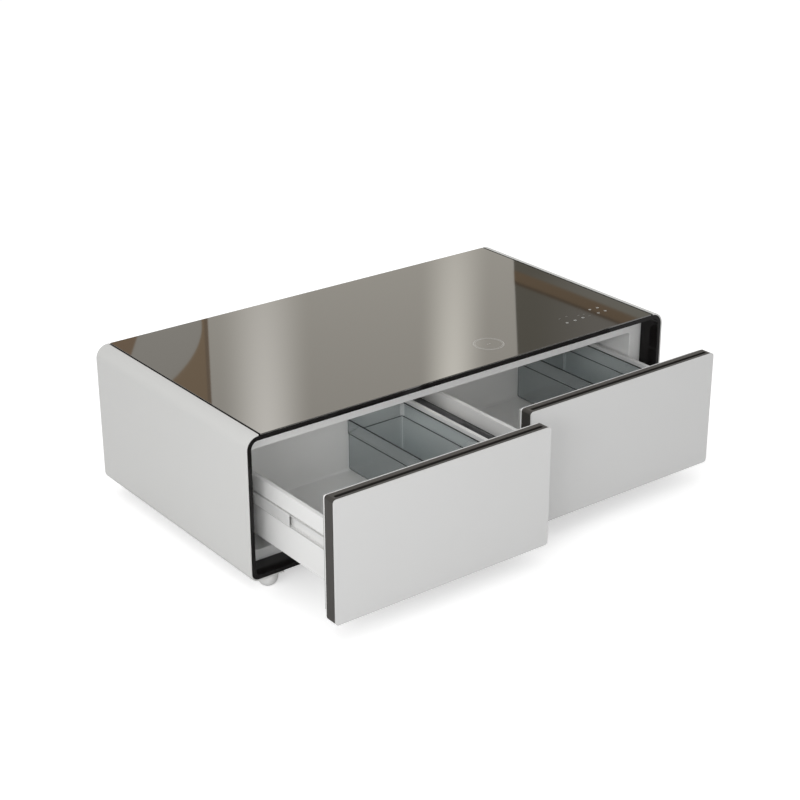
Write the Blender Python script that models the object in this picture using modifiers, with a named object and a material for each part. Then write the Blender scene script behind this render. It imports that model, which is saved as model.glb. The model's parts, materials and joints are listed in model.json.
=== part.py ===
"""Refrigerator coffee table with a flush glass top and two cooled drawers.

Metres, +Z up, +X to the right along the front, and the drawers open towards -Y.
The origin is on the floor, under the middle of the table with its drawers as they stand.
"""

import math

import bmesh
import bpy
from mathutils import Vector

# Whole table
TABLE_WIDTH = 1.300
TABLE_DEPTH = 0.690
SHELL_HEIGHT = 0.368
FOOT_HEIGHT = 0.030

# How far the drawers stand open
LEFT_PULL = 0.298
RIGHT_PULL = 0.2115

# Fits, cuts and facets
GAP = 0.0003
OVERRUN = 0.010
ARC_STEPS = 8
ROUND_STEPS = 24

# White side panels with rolled edges; the glass fills the same thickness
SHELL_THICKNESS = 0.004
ROLL_RADIUS = 0.034
ROLL_LIP = 0.0015
LOWER_ROLL_RADIUS = 0.022
LOWER_FLANGE = 0.070

# Feet
FOOT_RADIUS = 0.025
FOOT_SIDE_MARGIN = 0.0145
FOOT_END_MARGIN = 0.0005
FOOT_PROFILE_SHARES = (
    (0, 1), (1, 1), (1, 0.70), (0.97, 0.48), (0.90, 0.28), (0.78, 0.10), (0.64, 0), (0, 0),
)

# Seam beside the glass, and the tray under the glass
GLASS_SETBACK = 0.0005
SEAM_WIDTH = 0.0028
SEAM_DROP = 0.0008
TRAY_THICKNESS = 0.006

# Black frame round the drawer fronts
FRAME_WIDTH = 0.015
FRAME_LOWER_RADIUS = 0.007
FRAME_UPPER_RADIUS = 0.019

# Floor pan and back cover
PAN_THICKNESS = 0.002
REAR_THICKNESS = 0.002
REAR_SETBACK = 0.003
VENT_RISE = 0.160
VENT_COLUMNS = 2
VENT_ROWS = 8
SLOT_WIDTH = 0.086
SLOT_HEIGHT = 0.005
SLOT_COLUMN_STEP = 0.100
SLOT_ROW_STEP = 0.020

# Drawer fronts and the space round them
FACE_SIDE_CLEARANCE = 0.0116
FACE_SPACING = 0.0138
FACE_FOOT_CLEARANCE = 0.003
FACE_FINGER_CLEARANCE = 0.0285
FACE_CORNER_RADIUS = 0.009
FACE_THICKNESS = 0.004
BAND_DEPTH = 0.032
BAND_WALL = 0.014
BAND_INSET = 0.0005
GROOVE_SETBACK = 0.008
GROOVE_WIDTH = 0.009
GROOVE_DEPTH = 0.006
GROOVE_END_MARGIN = 0.014
INNER_PLATE_THICKNESS = 0.007
INNER_PLATE_INSET = 0.003
GASKET_INSET = 0.012
GASKET_WIDTH = 0.011
GASKET_DEPTH = 0.019

# Cold box
CAVITY_SILL = 0.026
CAVITY_HEADER = 0.053
LINER_WALL = 0.003
FLANGE_LAP = 0.003
ALCOVE_CLEARANCE = 0.055
ALCOVE_MARGIN = 0.0145
ALCOVE_DEPTH = 0.050
FOAM_BACK = 0.027
FOAM_SIDE = 0.025
DIVIDER_RISE = 0.006
DIVIDER_WALL = 0.003
LIGHT_LENGTH = 0.500
LIGHT_WIDTH = 0.014
LIGHT_HEIGHT = 0.005
LIGHT_SETBACK = 0.020

# Drawer tubs
TUB_FACE_MARGIN = 0.03325
TUB_SIDE_CLEARANCE = 0.007
TUB_BACK_CLEARANCE = 0.0134
TUB_FOOT_CLEARANCE = 0.039
TUB_HEIGHT = 0.156
TUB_SIDE_WALL = 0.012
TUB_FRONT_WALL = 0.010
TUB_BACK_WALL = 0.008
TUB_FLOOR = 0.004
TUB_EDGE = 0.002

# Smoked bins in the drawers
BIN_WIDTH = 0.1745
BIN_DROP = 0.010
BIN_WALL = 0.003
BIN_CLEARANCE = 0.0006
BIN_LIP_HEIGHT = 0.036
BIN_LIP_STEP = 0.002

# Telescopic slides, whose three rails nest in each other
SLIDE_RECESS = 0.006
RAIL_FRONT_MARGIN = 0.006
RAIL_BACK_MARGIN = 0.025
RAIL_HEIGHT = 0.033
RAIL_RISE = 0.097
RAIL_STEEL = 0.0012
RAIL_CLEARANCE = 0.001
MIDDLE_RAIL_OFFSET = 0.0035
OUTER_TIP_CLEARANCE = 0.0021
MIDDLE_TIP_CLEARANCE = 0.0016
INNER_TIP_CLEARANCE = 0.0017

# Evaporator behind its grille
COVER_LAP = 0.006
COVER_THICKNESS = 0.003
GRILLE_SLOTS = 10
GRILLE_SLOT_SHARE = 0.0125
GRILLE_SLOT_HEIGHT = 0.070
GRILLE_STEP_SHARE = 0.02375
RETURN_OFFSET_SHARE = 0.375
EVAPORATOR_SIDE_MARGIN = 0.020
EVAPORATOR_END_MARGIN = 0.015
EVAPORATOR_DEPTH = 0.020
EVAPORATOR_BACK = 0.003
FIN_COUNT = 20
FIN_THICKNESS = 0.002

# Fans
EVAPORATOR_FAN_SIZE = 0.092
EVAPORATOR_FAN_DEPTH = 0.020
CONDENSER_FAN_MARGIN = 0.0075
CONDENSER_FAN_DEPTH = 0.025
CONDENSER_FAN_SPACING = 0.040
FAN_RIM = 0.004
FAN_TIP_CLEARANCE = 0.002
FAN_HUB_RADIUS = 0.017
FAN_SHAFT_RADIUS = 0.002
FAN_SHAFT_CLEARANCE = 0.0003
FAN_SHAFT_LENGTH = 0.003
FAN_SPIDER_THICKNESS = 0.004
FAN_SPIDER_WIDTH = 0.008
FAN_BLADES = 7
FAN_BLADE_THICKNESS = 0.0016
FAN_BLADE_PITCH = math.radians(38)
FAN_CHORD_SHARE = 0.92

# Compressor on its plate and mount
COMPRESSOR_RADIUS = 0.052
COMPRESSOR_HEIGHT = 0.128
COMPRESSOR_CLEARANCE = 0.0079
COMPRESSOR_SPACING = 0.035
COMPRESSOR_SEAM_SHARE = 1.05
COMPRESSOR_PROFILE_SHARES = (
    (0, 1), (0.42, 0.985), (0.76, 0.93), (0.94, 0.83), (1, 0.68), (1, 0.62),
    (COMPRESSOR_SEAM_SHARE, 0.615), (COMPRESSOR_SEAM_SHARE, 0.57),
    (1, 0.565), (1, 0.28), (0.93, 0.13), (0.72, 0.03), (0.5, 0), (0, 0),
)
COMPRESSOR_PLATE_SIDE = 0.002
COMPRESSOR_PLATE_END = 0.023
COMPRESSOR_PLATE_THICKNESS = 0.003
MOUNT_HEIGHT = 0.012
MOUNT_WALL = 0.016
PLATE_CORNER_RADIUS = 0.010

# Condenser coil, pipes, drier and drip tray
CONDENSER_PASSES = 8
CONDENSER_STEP = 0.026
CONDENSER_CLEARANCE = 0.030
TUBE_RADIUS = 0.0025
PIPE_BEND = 0.010
PIPE_LEAD = 0.028
PIPE_STEPS = 5
TURN_STEPS = 5
DRIER_RADIUS = 0.008
DRIER_LENGTH = 0.070
DRIER_CLEARANCE = 0.023
DRIER_PROFILE_SHARES = (
    (0, 1), (0.35, 1), (0.35, 0.92), (1, 0.80), (1, 0.20), (0.35, 0.08), (0.35, 0), (0, 0),
)
SUCTION_INSET = 0.020
SUCTION_RISE = 0.160
SUCTION_PORT_SHARE = 0.40
DRIP_END_MARGIN = 0.010
DRIP_HEIGHT = 0.018
DRIP_WALL = 0.002
DRIP_MARGIN = 0.006

# Electrical parts
SUPPLY_INSET = 0.080
SUPPLY_WIDTH = 0.080
SUPPLY_DEPTH = 0.100
SUPPLY_HEIGHT = 0.045
BOARD_SPACING = 0.240
BOARD_WIDTH = 0.150
BOARD_DEPTH = 0.090
BOARD_THICKNESS = 0.0016
STANDOFF_RADIUS = 0.003
STANDOFF_HEIGHT = 0.008
STANDOFF_INSET = 0.006
BOARD_BLOCK_SHARES = (
    (-0.30, -0.15, 0.20, 0.34, 0.20), (-0.02, -0.20, 0.12, 0.22, 0.12), (0.16, -0.20, 0.12, 0.22, 0.12),
    (0.34, 0.02, 0.10, 0.56, 0.08), (0.02, 0.22, 0.30, 0.14, 0.05),
)
INLET_PLATE_WIDTH = 0.115
INLET_PLATE_HEIGHT = 0.100
INLET_INSET = 0.050
INLET_RISE = 0.031
INLET_BODY_DEPTH = 0.026
INLET_SOCKET_WIDTH = 0.024
INLET_SOCKET_HEIGHT = 0.017
INLET_SOCKET_DEPTH = 0.018
INLET_WALL = 0.0035
TOUCH_INSET = (0.187, 0.107)
TOUCH_SIZE = (0.160, 0.060)
CHARGER_X = 0.139
CHARGER_INSET = 0.102
CHARGER_RADIUS = 0.037
CHARGER_THICKNESS = 0.003
CHARGER_TURNS = 4
CHARGER_HOLE_SHARE = 0.24
CHARGER_GROOVE_SHARE = 0.5
WINDOW_CLEARANCE = 0.001

# Heights worked out from the sizes above
TOP = FOOT_HEIGHT + SHELL_HEIGHT
SHELL_FLOOR = FOOT_HEIGHT + SHELL_THICKNESS
PAN_TOP = SHELL_FLOOR + GAP + PAN_THICKNESS
GLASS_BOTTOM = TOP - SHELL_THICKNESS
TRAY_TOP = GLASS_BOTTOM - GAP
TRAY_BOTTOM = TRAY_TOP - TRAY_THICKNESS
FACE_BOTTOM = FOOT_HEIGHT + FRAME_WIDTH + FACE_FOOT_CLEARANCE
FACE_HEIGHT = TOP - FRAME_WIDTH - FACE_FINGER_CLEARANCE - FACE_BOTTOM
CAVITY_BOTTOM = FOOT_HEIGHT + FRAME_WIDTH + CAVITY_SILL
CAVITY_TOP = TOP - FRAME_WIDTH - CAVITY_HEADER
CAVITY_MIDDLE = (CAVITY_BOTTOM + CAVITY_TOP) / 2
TUB_BOTTOM = CAVITY_BOTTOM + TUB_FOOT_CLEARANCE
TUB_TOP = TUB_BOTTOM + TUB_HEIGHT
RAIL_MIDDLE = TUB_BOTTOM + RAIL_RISE
DIVIDER_TOP = RAIL_MIDDLE + DIVIDER_RISE
ALCOVE_HEIGHT = CAVITY_TOP - CAVITY_BOTTOM - 2 * ALCOVE_MARGIN
CONDENSER_BOTTOM = PAN_TOP + GAP + DRIP_HEIGHT + CONDENSER_CLEARANCE
INLET_Z = SHELL_FLOOR + INLET_RISE
VENT_Z = FOOT_HEIGHT + VENT_RISE

# Depths, from the front face to the back cover
FRONT = -TABLE_DEPTH / 2
BACK = TABLE_DEPTH / 2
FRONT_THICKNESS = FACE_THICKNESS + BAND_DEPTH + INNER_PLATE_THICKNESS
RECESS_DEPTH = FRONT_THICKNESS + GASKET_DEPTH
RECESS_BACK = FRONT + RECESS_DEPTH
FLANGE_FRONT = RECESS_BACK + GAP
REAR_FACE = BACK - REAR_SETBACK
REAR_INSIDE = REAR_FACE - REAR_THICKNESS
MACHINE_DEPTH = 2 * (COMPRESSOR_RADIUS * COMPRESSOR_SEAM_SHARE + COMPRESSOR_CLEARANCE)
MACHINE_MIDDLE = REAR_INSIDE - MACHINE_DEPTH / 2
FOAM_FACE = REAR_INSIDE - MACHINE_DEPTH
CAVITY_BACK = FOAM_FACE - FOAM_BACK - LINER_WALL
ALCOVE_BACK = CAVITY_BACK + ALCOVE_DEPTH
ALCOVE_FOAM_FACE = ALCOVE_BACK + LINER_WALL + FOAM_BACK
COVER_FRONT = CAVITY_BACK - GAP - COVER_THICKNESS
TUB_START = FRONT_THICKNESS + GAP
TUB_DEPTH = COVER_FRONT - TUB_BACK_CLEARANCE - FRONT - TUB_START
RAIL_START = RECESS_DEPTH + RAIL_FRONT_MARGIN
RAIL_LENGTH = TUB_START + TUB_DEPTH - RAIL_BACK_MARGIN - RAIL_START

# Widths, and places along the width
SHELL_INSIDE = TABLE_WIDTH / 2 - SHELL_THICKNESS - 2 * GAP
SEAM_EDGE = TABLE_WIDTH / 2 - ROLL_RADIUS - ROLL_LIP
FACE_WIDTH = TABLE_WIDTH / 2 - FRAME_WIDTH - FACE_SIDE_CLEARANCE - FACE_SPACING / 2
DRAWER_OFFSET = (FACE_WIDTH + FACE_SPACING) / 2
TUB_WIDTH = FACE_WIDTH - 2 * TUB_FACE_MARGIN
SLIDE_SPACE = TUB_SIDE_CLEARANCE + SLIDE_RECESS
CAVITY_HALF = DRAWER_OFFSET + TUB_WIDTH / 2 + TUB_SIDE_CLEARANCE
DIVIDER_HALF = DRAWER_OFFSET - TUB_WIDTH / 2 - TUB_SIDE_CLEARANCE
COMPRESSOR_PLATE_WIDTH = 2 * (COMPRESSOR_RADIUS + COMPRESSOR_PLATE_SIDE)
COMPRESSOR_PLATE_LENGTH = 2 * (COMPRESSOR_RADIUS + COMPRESSOR_PLATE_END)
SUPPLY_X = SUPPLY_INSET - TABLE_WIDTH / 2
COMPRESSOR_X = SUPPLY_X + SUPPLY_WIDTH / 2 + COMPRESSOR_SPACING + COMPRESSOR_PLATE_LENGTH / 2
CONDENSER_FAN_SIZE = MACHINE_DEPTH - 2 * CONDENSER_FAN_MARGIN
CONDENSER_FAN_X = COMPRESSOR_X + COMPRESSOR_PLATE_LENGTH / 2 + CONDENSER_FAN_SPACING
CONDENSER_FAN_END = CONDENSER_FAN_X + CONDENSER_FAN_DEPTH
CONDENSER_WIDTH = CONDENSER_STEP - 2 * (CONDENSER_FAN_END + DRIER_CLEARANCE + DRIER_LENGTH)
DRIP_LENGTH = CONDENSER_WIDTH - 2 * DRIP_END_MARGIN
ALCOVE_WIDTH = -2 * (CONDENSER_FAN_END + ALCOVE_CLEARANCE + FOAM_SIDE)
GRILLE_SLOT_WIDTH = ALCOVE_WIDTH * GRILLE_SLOT_SHARE
GRILLE_SLOT_STEP = ALCOVE_WIDTH * GRILLE_STEP_SHARE
RETURN_OFFSET = ALCOVE_WIDTH * RETURN_OFFSET_SHARE
INLET_SIDE = TABLE_WIDTH / 2 - SHELL_THICKNESS - INLET_PLATE_WIDTH
INLET_X = TABLE_WIDTH / 2 - INLET_INSET
INLET_BODY_WIDTH = INLET_SOCKET_WIDTH + 2 * INLET_WALL
INLET_BODY_HEIGHT = INLET_SOCKET_HEIGHT + 2 * INLET_WALL
BOARD_X = INLET_X - BOARD_SPACING
SUCTION_X = SUCTION_INSET - ALCOVE_WIDTH / 2 - FOAM_SIDE
TOUCH_CENTRE = (TABLE_WIDTH / 2 - TOUCH_INSET[0], FRONT + TOUCH_INSET[1])
CHARGER_CENTRE = (CHARGER_X, FRONT + CHARGER_INSET)


def clear_scene():
    """Empties the scene of what it starts with."""
    for thing in list(bpy.data.objects):
        bpy.data.objects.remove(thing, do_unlink=True)


def new_collection(name):
    """Adds a collection to the scene."""
    group = bpy.data.collections.new(name)
    bpy.context.scene.collection.children.link(group)
    return group


clear_scene()
PARTS = new_collection("refrigerator_coffee_table")
CUTTERS = new_collection("cutters")


def finish(name, colour, roughness, metallic=0.0, alpha=1.0):
    """A Principled material of one colour."""
    material = bpy.data.materials.new(name)
    material.use_nodes = True
    shader = material.node_tree.nodes["Principled BSDF"]
    shader.inputs["Base Color"].default_value = (*colour, 1)
    shader.inputs["Roughness"].default_value = roughness
    shader.inputs["Metallic"].default_value = metallic
    shader.inputs["Alpha"].default_value = alpha
    return material


WHITE_LACQUER = finish("white_lacquer", (0.80, 0.80, 0.79), 0.30)
WHITE_PLASTIC = finish("white_plastic", (0.84, 0.84, 0.83), 0.45)
BLACK_GLOSS = finish("black_gloss", (0.012, 0.012, 0.012), 0.12)
BLACK_PLASTIC = finish("black_plastic", (0.02, 0.02, 0.02), 0.50)
SMOKED_GLASS = finish("smoked_glass", (0.23, 0.21, 0.19), 0.05, metallic=0.2)
SMOKED_PLASTIC = finish("smoked_plastic", (0.10, 0.13, 0.15), 0.15, alpha=0.6)
BRONZE = finish("dark_bronze", (0.09, 0.08, 0.07), 0.35, metallic=0.8)
RAIL_STEEL_FINISH = finish("rail_steel", (0.62, 0.62, 0.61), 0.35, metallic=0.9)
PAN_STEEL = finish("pan_steel", (0.55, 0.56, 0.56), 0.45, metallic=0.9)
REAR_PAINT = finish("rear_paint", (0.78, 0.78, 0.77), 0.50)
GASKET_RUBBER = finish("gasket_rubber", (0.60, 0.60, 0.59), 0.70)
BLACK_RUBBER = finish("black_rubber", (0.03, 0.03, 0.03), 0.80)
FOAM = finish("foam", (0.80, 0.74, 0.52), 0.90)
COPPER = finish("copper", (0.78, 0.40, 0.26), 0.30, metallic=1.0)
FIN_ALUMINIUM = finish("fin_aluminium", (0.75, 0.76, 0.77), 0.35, metallic=1.0)
BLACK_ENAMEL = finish("black_enamel", (0.02, 0.02, 0.02), 0.35)
BOARD_GREEN = finish("board_green", (0.03, 0.20, 0.08), 0.45)
LIGHT_DIFFUSER = finish("light_diffuser", (0.92, 0.92, 0.88), 0.40)
ZINC = finish("zinc", (0.66, 0.67, 0.68), 0.40, metallic=0.9)


def empty(name, at, parent=None):
    """An empty that carries the pieces of one body."""
    carrier = bpy.data.objects.new(name, None)
    carrier.location = at
    carrier.parent = parent
    PARTS.objects.link(carrier)
    return carrier


def place(name, mesh, material, at=(0, 0, 0), turn=(0, 0, 0), parent=None):
    """Puts a mesh in the model: a part if it has a material, and otherwise a cutter."""
    piece = bpy.data.objects.new(name, mesh)
    piece.location = at
    piece.rotation_euler = turn
    piece.parent = parent
    if material is None:
        CUTTERS.objects.link(piece)
        piece.hide_render = True
        piece.display_type = "WIRE"
    else:
        PARTS.objects.link(piece)
        mesh.materials.append(material)
    return piece


def mesh_from(name, shape):
    """A mesh made from a bmesh."""
    mesh = bpy.data.meshes.new(name)
    shape.to_mesh(mesh)
    shape.free()
    return mesh


def box(name, low, high, material=None, parent=None):
    """A box between its lowest and highest corners."""
    low = Vector(low)
    high = Vector(high)
    shape = bmesh.new()
    bmesh.ops.create_cube(shape, size=1)
    bmesh.ops.scale(shape, vec=high - low, verts=shape.verts)
    return place(name, mesh_from(name, shape), material, at=(low + high) / 2, parent=parent)


def cylinder(name, radius, length, at, material=None, turn=(0, 0, 0), parent=None):
    """A cylinder along its own Z, centred on a point."""
    shape = bmesh.new()
    bmesh.ops.create_cone(
        shape, cap_ends=True, segments=ROUND_STEPS, radius1=radius, radius2=radius, depth=length
    )
    piece = place(name, mesh_from(name, shape), material, at=at, turn=turn, parent=parent)
    smooth(piece)
    return piece


def smooth(piece):
    """Smooth shading that keeps the edges sharp."""
    piece.data.shade_smooth()
    piece.data.set_sharp_from_angle(angle=math.radians(35))


def combine(piece, tool, operation):
    """Joins or cuts a piece by another object."""
    step = piece.modifiers.new(tool.name, "BOOLEAN")
    step.operation = operation
    step.solver = "EXACT"
    step.object = tool


def cut(piece, *tools):
    """Cuts a piece by each tool."""
    for tool in tools:
        combine(piece, tool, "DIFFERENCE")


def join(piece, *tools):
    """Joins each tool to a piece."""
    for tool in tools:
        combine(piece, tool, "UNION")


def soften(piece, width, segments=1):
    """Rounds the sharp edges of a piece."""
    bevel = piece.modifiers.new("edges", "BEVEL")
    bevel.width = width
    bevel.segments = segments
    bevel.limit_method = "ANGLE"
    bevel.angle_limit = math.radians(40)


def arc(centre, radius, first, last, steps=ARC_STEPS):
    """Points along an arc, with its angles in degrees."""
    points = []
    for step in range(steps + 1):
        angle = math.radians(first + (last - first) * step / steps)
        points.append((centre[0] + radius * math.cos(angle), centre[1] + radius * math.sin(angle)))
    return points


def rounded_rectangle(low, high, lower_radius, upper_radius):
    """Outline of a rectangle whose lower and upper corners have their own radii."""
    (left, bottom), (right, top) = low, high
    points = arc((right - lower_radius, bottom + lower_radius), lower_radius, -90, 0)
    points += arc((right - upper_radius, top - upper_radius), upper_radius, 0, 90)
    points += arc((left + upper_radius, top - upper_radius), upper_radius, 90, 180)
    points += arc((left + lower_radius, bottom + lower_radius), lower_radius, 180, 270)
    return points


def rectangle(low, high):
    """Outline of a plain rectangle."""
    return [(low[0], low[1]), (high[0], low[1]), (high[0], high[1]), (low[0], high[1])]


def curve_object(name, curve, at, turn, parent):
    """Puts a curve in the model for as long as its mesh is being made."""
    holder = bpy.data.objects.new(name, curve)
    holder.location = at
    holder.rotation_euler = turn
    holder.parent = parent
    PARTS.objects.link(holder)
    return holder


def mesh_of_curve(holder, material):
    """Turns a curve object into a welded mesh object in the same place."""
    bpy.context.view_layer.update()
    evaluated = holder.evaluated_get(bpy.context.evaluated_depsgraph_get())
    mesh = bpy.data.meshes.new_from_object(evaluated)
    shape = bmesh.new()
    shape.from_mesh(mesh)
    bmesh.ops.remove_doubles(shape, verts=shape.verts, dist=GAP / 10)
    bmesh.ops.recalc_face_normals(shape, faces=shape.faces)
    shape.to_mesh(mesh)
    shape.free()
    mesh.materials.clear()
    at = holder.location.copy()
    turn = holder.rotation_euler.copy()
    parent = holder.parent
    name = holder.name
    bpy.data.objects.remove(holder, do_unlink=True)
    return place(name, mesh, material, at=at, turn=turn, parent=parent)


def plate(name, loops, thickness, at, material=None, turn=(math.pi / 2, 0, 0), parent=None):
    """A flat plate from an outline and its holes, standing in the XZ plane unless turned."""
    curve = bpy.data.curves.new(name, "CURVE")
    curve.dimensions = "2D"
    curve.fill_mode = "BOTH"
    curve.extrude = thickness / 2
    for points in loops:
        spline = curve.splines.new("POLY")
        spline.points.add(len(points) - 1)
        for point, (x, y) in zip(spline.points, points):
            point.co = (x, y, 0, 1)
        spline.use_cyclic_u = True
    return mesh_of_curve(curve_object(name, curve, at, turn, parent), material)


def tube(name, points, radius, material, parent=None):
    """A round tube with closed ends along a list of points."""
    curve = bpy.data.curves.new(name, "CURVE")
    curve.dimensions = "3D"
    curve.bevel_depth = radius
    curve.bevel_resolution = 2
    curve.use_fill_caps = True
    spline = curve.splines.new("POLY")
    spline.points.add(len(points) - 1)
    for point, place_of_point in zip(spline.points, points):
        point.co = (*place_of_point, 1)
    piece = mesh_of_curve(curve_object(name, curve, (0, 0, 0), (0, 0, 0), parent), material)
    smooth(piece)
    return piece


def strip(name, points, thickness, start, length, material, parent=None, at=(0, 0, 0)):
    """A bent sheet: its middle line in the XZ plane, drawn out along Y and given a thickness."""
    shape = bmesh.new()
    corners = [shape.verts.new((x, start, z)) for x, z in points]
    edges = [shape.edges.new(pair) for pair in zip(corners, corners[1:])]
    drawn = bmesh.ops.extrude_edge_only(shape, edges=edges)["geom"]
    moved = [item for item in drawn if isinstance(item, bmesh.types.BMVert)]
    bmesh.ops.translate(shape, vec=(0, length, 0), verts=moved)
    piece = place(name, mesh_from(name, shape), material, at=at, parent=parent)
    wall = piece.modifiers.new("wall", "SOLIDIFY")
    wall.thickness = thickness
    wall.offset = 0
    wall.use_even_offset = True
    return piece


def turned(name, profile, at, material=None, turn=(0, 0, 0), parent=None):
    """A round piece from a profile that runs down its outer side."""
    shape = bmesh.new()
    points = [shape.verts.new((radius, 0, height)) for radius, height in profile]
    for pair in zip(points, points[1:]):
        shape.edges.new(pair)
    piece = place(name, mesh_from(name, shape), material, at=at, turn=turn, parent=parent)
    screw = piece.modifiers.new("turn", "SCREW")
    screw.angle = 2 * math.pi
    screw.steps = ROUND_STEPS
    screw.render_steps = ROUND_STEPS
    screw.use_merge_vertices = True
    screw.merge_threshold = GAP / 10
    screw.use_smooth_shade = True
    return piece


def scaled_profile(shares, radius, height):
    """A turned profile from shares of its radius and height."""
    return [(radius * across, height * up) for across, up in shares]


def bent_path(points):
    """A pipe's middle line: straight runs whose corners are rounded."""
    path = [points[0]]
    for before, corner, after in zip(points, points[1:], points[2:]):
        start = corner + (before - corner).normalized() * PIPE_BEND
        end = corner + (after - corner).normalized() * PIPE_BEND
        for step in range(PIPE_STEPS + 1):
            t = step / PIPE_STEPS
            path.append(start * (1 - t) ** 2 + corner * 2 * t * (1 - t) + end * t**2)
    path.append(points[-1])
    return path


def shell_outline(clearance):
    """The inside of the rolled shell, brought in by a clearance."""
    half = TABLE_WIDTH / 2 - SHELL_THICKNESS - clearance
    low = (-half, FOOT_HEIGHT + SHELL_THICKNESS + clearance)
    high = (half, TOP - SHELL_THICKNESS - clearance)
    lower = LOWER_ROLL_RADIUS - SHELL_THICKNESS - clearance
    upper = ROLL_RADIUS - SHELL_THICKNESS - clearance
    return rounded_rectangle(low, high, lower, upper)


def side_panel(name, side, cabinet):
    """A white side whose edges roll into the top and the underside."""
    outer = TABLE_WIDTH / 2
    middle = SHELL_THICKNESS / 2
    profile = [(SEAM_EDGE, TOP - middle)]
    profile += arc((outer - ROLL_RADIUS, TOP - ROLL_RADIUS), ROLL_RADIUS - middle, 90, 0)
    lower_centre = (outer - LOWER_ROLL_RADIUS, FOOT_HEIGHT + LOWER_ROLL_RADIUS)
    profile += arc(lower_centre, LOWER_ROLL_RADIUS - middle, 0, -90)
    profile.append((lower_centre[0] - LOWER_FLANGE, FOOT_HEIGHT + middle))
    points = [(side * x, z) for x, z in profile]
    panel = strip(name, points, SHELL_THICKNESS, FRONT, TABLE_DEPTH, WHITE_LACQUER, parent=cabinet)
    smooth(panel)
    return panel


def front_rim(cabinet):
    """The black frame at the front, deep enough to line the recess."""
    half = TABLE_WIDTH / 2 - FRAME_WIDTH
    hole = rounded_rectangle(
        (-half, FOOT_HEIGHT + FRAME_WIDTH),
        (half, TOP - FRAME_WIDTH),
        FRAME_LOWER_RADIUS,
        FRAME_UPPER_RADIUS,
    )
    middle = (0, FRONT + RECESS_DEPTH / 2, 0)
    plate("front_rim", [shell_outline(2 * GAP), hole], RECESS_DEPTH, middle, BLACK_GLOSS, parent=cabinet)


def vent_slots():
    """Outlines of the slots in the back cover."""
    slots = []
    for centre_x in (COMPRESSOR_X, 0, BOARD_X):
        for column in range(VENT_COLUMNS):
            for row in range(VENT_ROWS):
                x = centre_x + (column - (VENT_COLUMNS - 1) / 2) * SLOT_COLUMN_STEP
                z = VENT_Z + (row - (VENT_ROWS - 1) / 2) * SLOT_ROW_STEP
                slots.append(
                    rectangle(
                        (x - SLOT_WIDTH / 2, z - SLOT_HEIGHT / 2),
                        (x + SLOT_WIDTH / 2, z + SLOT_HEIGHT / 2),
                    )
                )
    return slots


def rear_outlines():
    """Outlines of the back cover and of the inlet's plate, which takes its lower right corner."""
    corner, rest = split_outline(shell_outline(2 * GAP))
    low = rest[-1][1]
    right = rest[0][0]
    top = SHELL_FLOOR + INLET_PLATE_HEIGHT
    cover = [(INLET_SIDE, low), (INLET_SIDE, top), (right, top), *rest]
    side = INLET_SIDE + GAP
    inlet = [(side, low), *corner, (right, top - GAP), (side, top - GAP)]
    return cover, inlet


def split_outline(points):
    """Parts an outline into its first corner and the other three."""
    return points[: ARC_STEPS + 1], points[ARC_STEPS + 1 :]


def rear_panel(cabinet):
    """The back cover with its vents, open at the corner of the mains inlet."""
    loops = [rear_outlines()[0], *vent_slots()]
    middle = (0, REAR_FACE - REAR_THICKNESS / 2, 0)
    plate("rear_panel", loops, REAR_THICKNESS, middle, REAR_PAINT, parent=cabinet)


def base_pan(cabinet):
    """The steel floor behind the frame."""
    half = TABLE_WIDTH / 2 - LOWER_ROLL_RADIUS
    box(
        "base_pan",
        (-half, RECESS_BACK + GAP, SHELL_FLOOR + GAP),
        (half, REAR_INSIDE - GAP, PAN_TOP),
        PAN_STEEL,
        cabinet,
    )


def feet(cabinet):
    """Four round feet under the rolled lower edges."""
    profile = scaled_profile(FOOT_PROFILE_SHARES, FOOT_RADIUS, FOOT_HEIGHT - GAP)
    x = TABLE_WIDTH / 2 - LOWER_ROLL_RADIUS - FOOT_SIDE_MARGIN - FOOT_RADIUS
    y = TABLE_DEPTH / 2 - FOOT_END_MARGIN - FOOT_RADIUS
    for end, end_name in ((-1, "front"), (1, "rear")):
        for side, side_name in ((-1, "left"), (1, "right")):
            at = (side * x, end * y, 0)
            turned(f"foot_{end_name}_{side_name}", profile, at, WHITE_PLASTIC, parent=cabinet)


def glass_top(cabinet):
    """The flush glass between the rolled edges."""
    half = SEAM_EDGE - SEAM_WIDTH
    low = (-half, FRONT + GLASS_SETBACK, GLASS_BOTTOM)
    high = (half, BACK - GLASS_SETBACK, TOP)
    box("glass_top", low, high, SMOKED_GLASS, cabinet)


def tray_window(centre, size):
    """Corners of a window in the tray."""
    x, y = centre
    across = size[0] / 2 + WINDOW_CLEARANCE
    along = size[1] / 2 + WINDOW_CLEARANCE
    low = (x - across, y - along, TRAY_BOTTOM - OVERRUN)
    high = (x + across, y + along, TRAY_TOP + OVERRUN)
    return low, high


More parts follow.
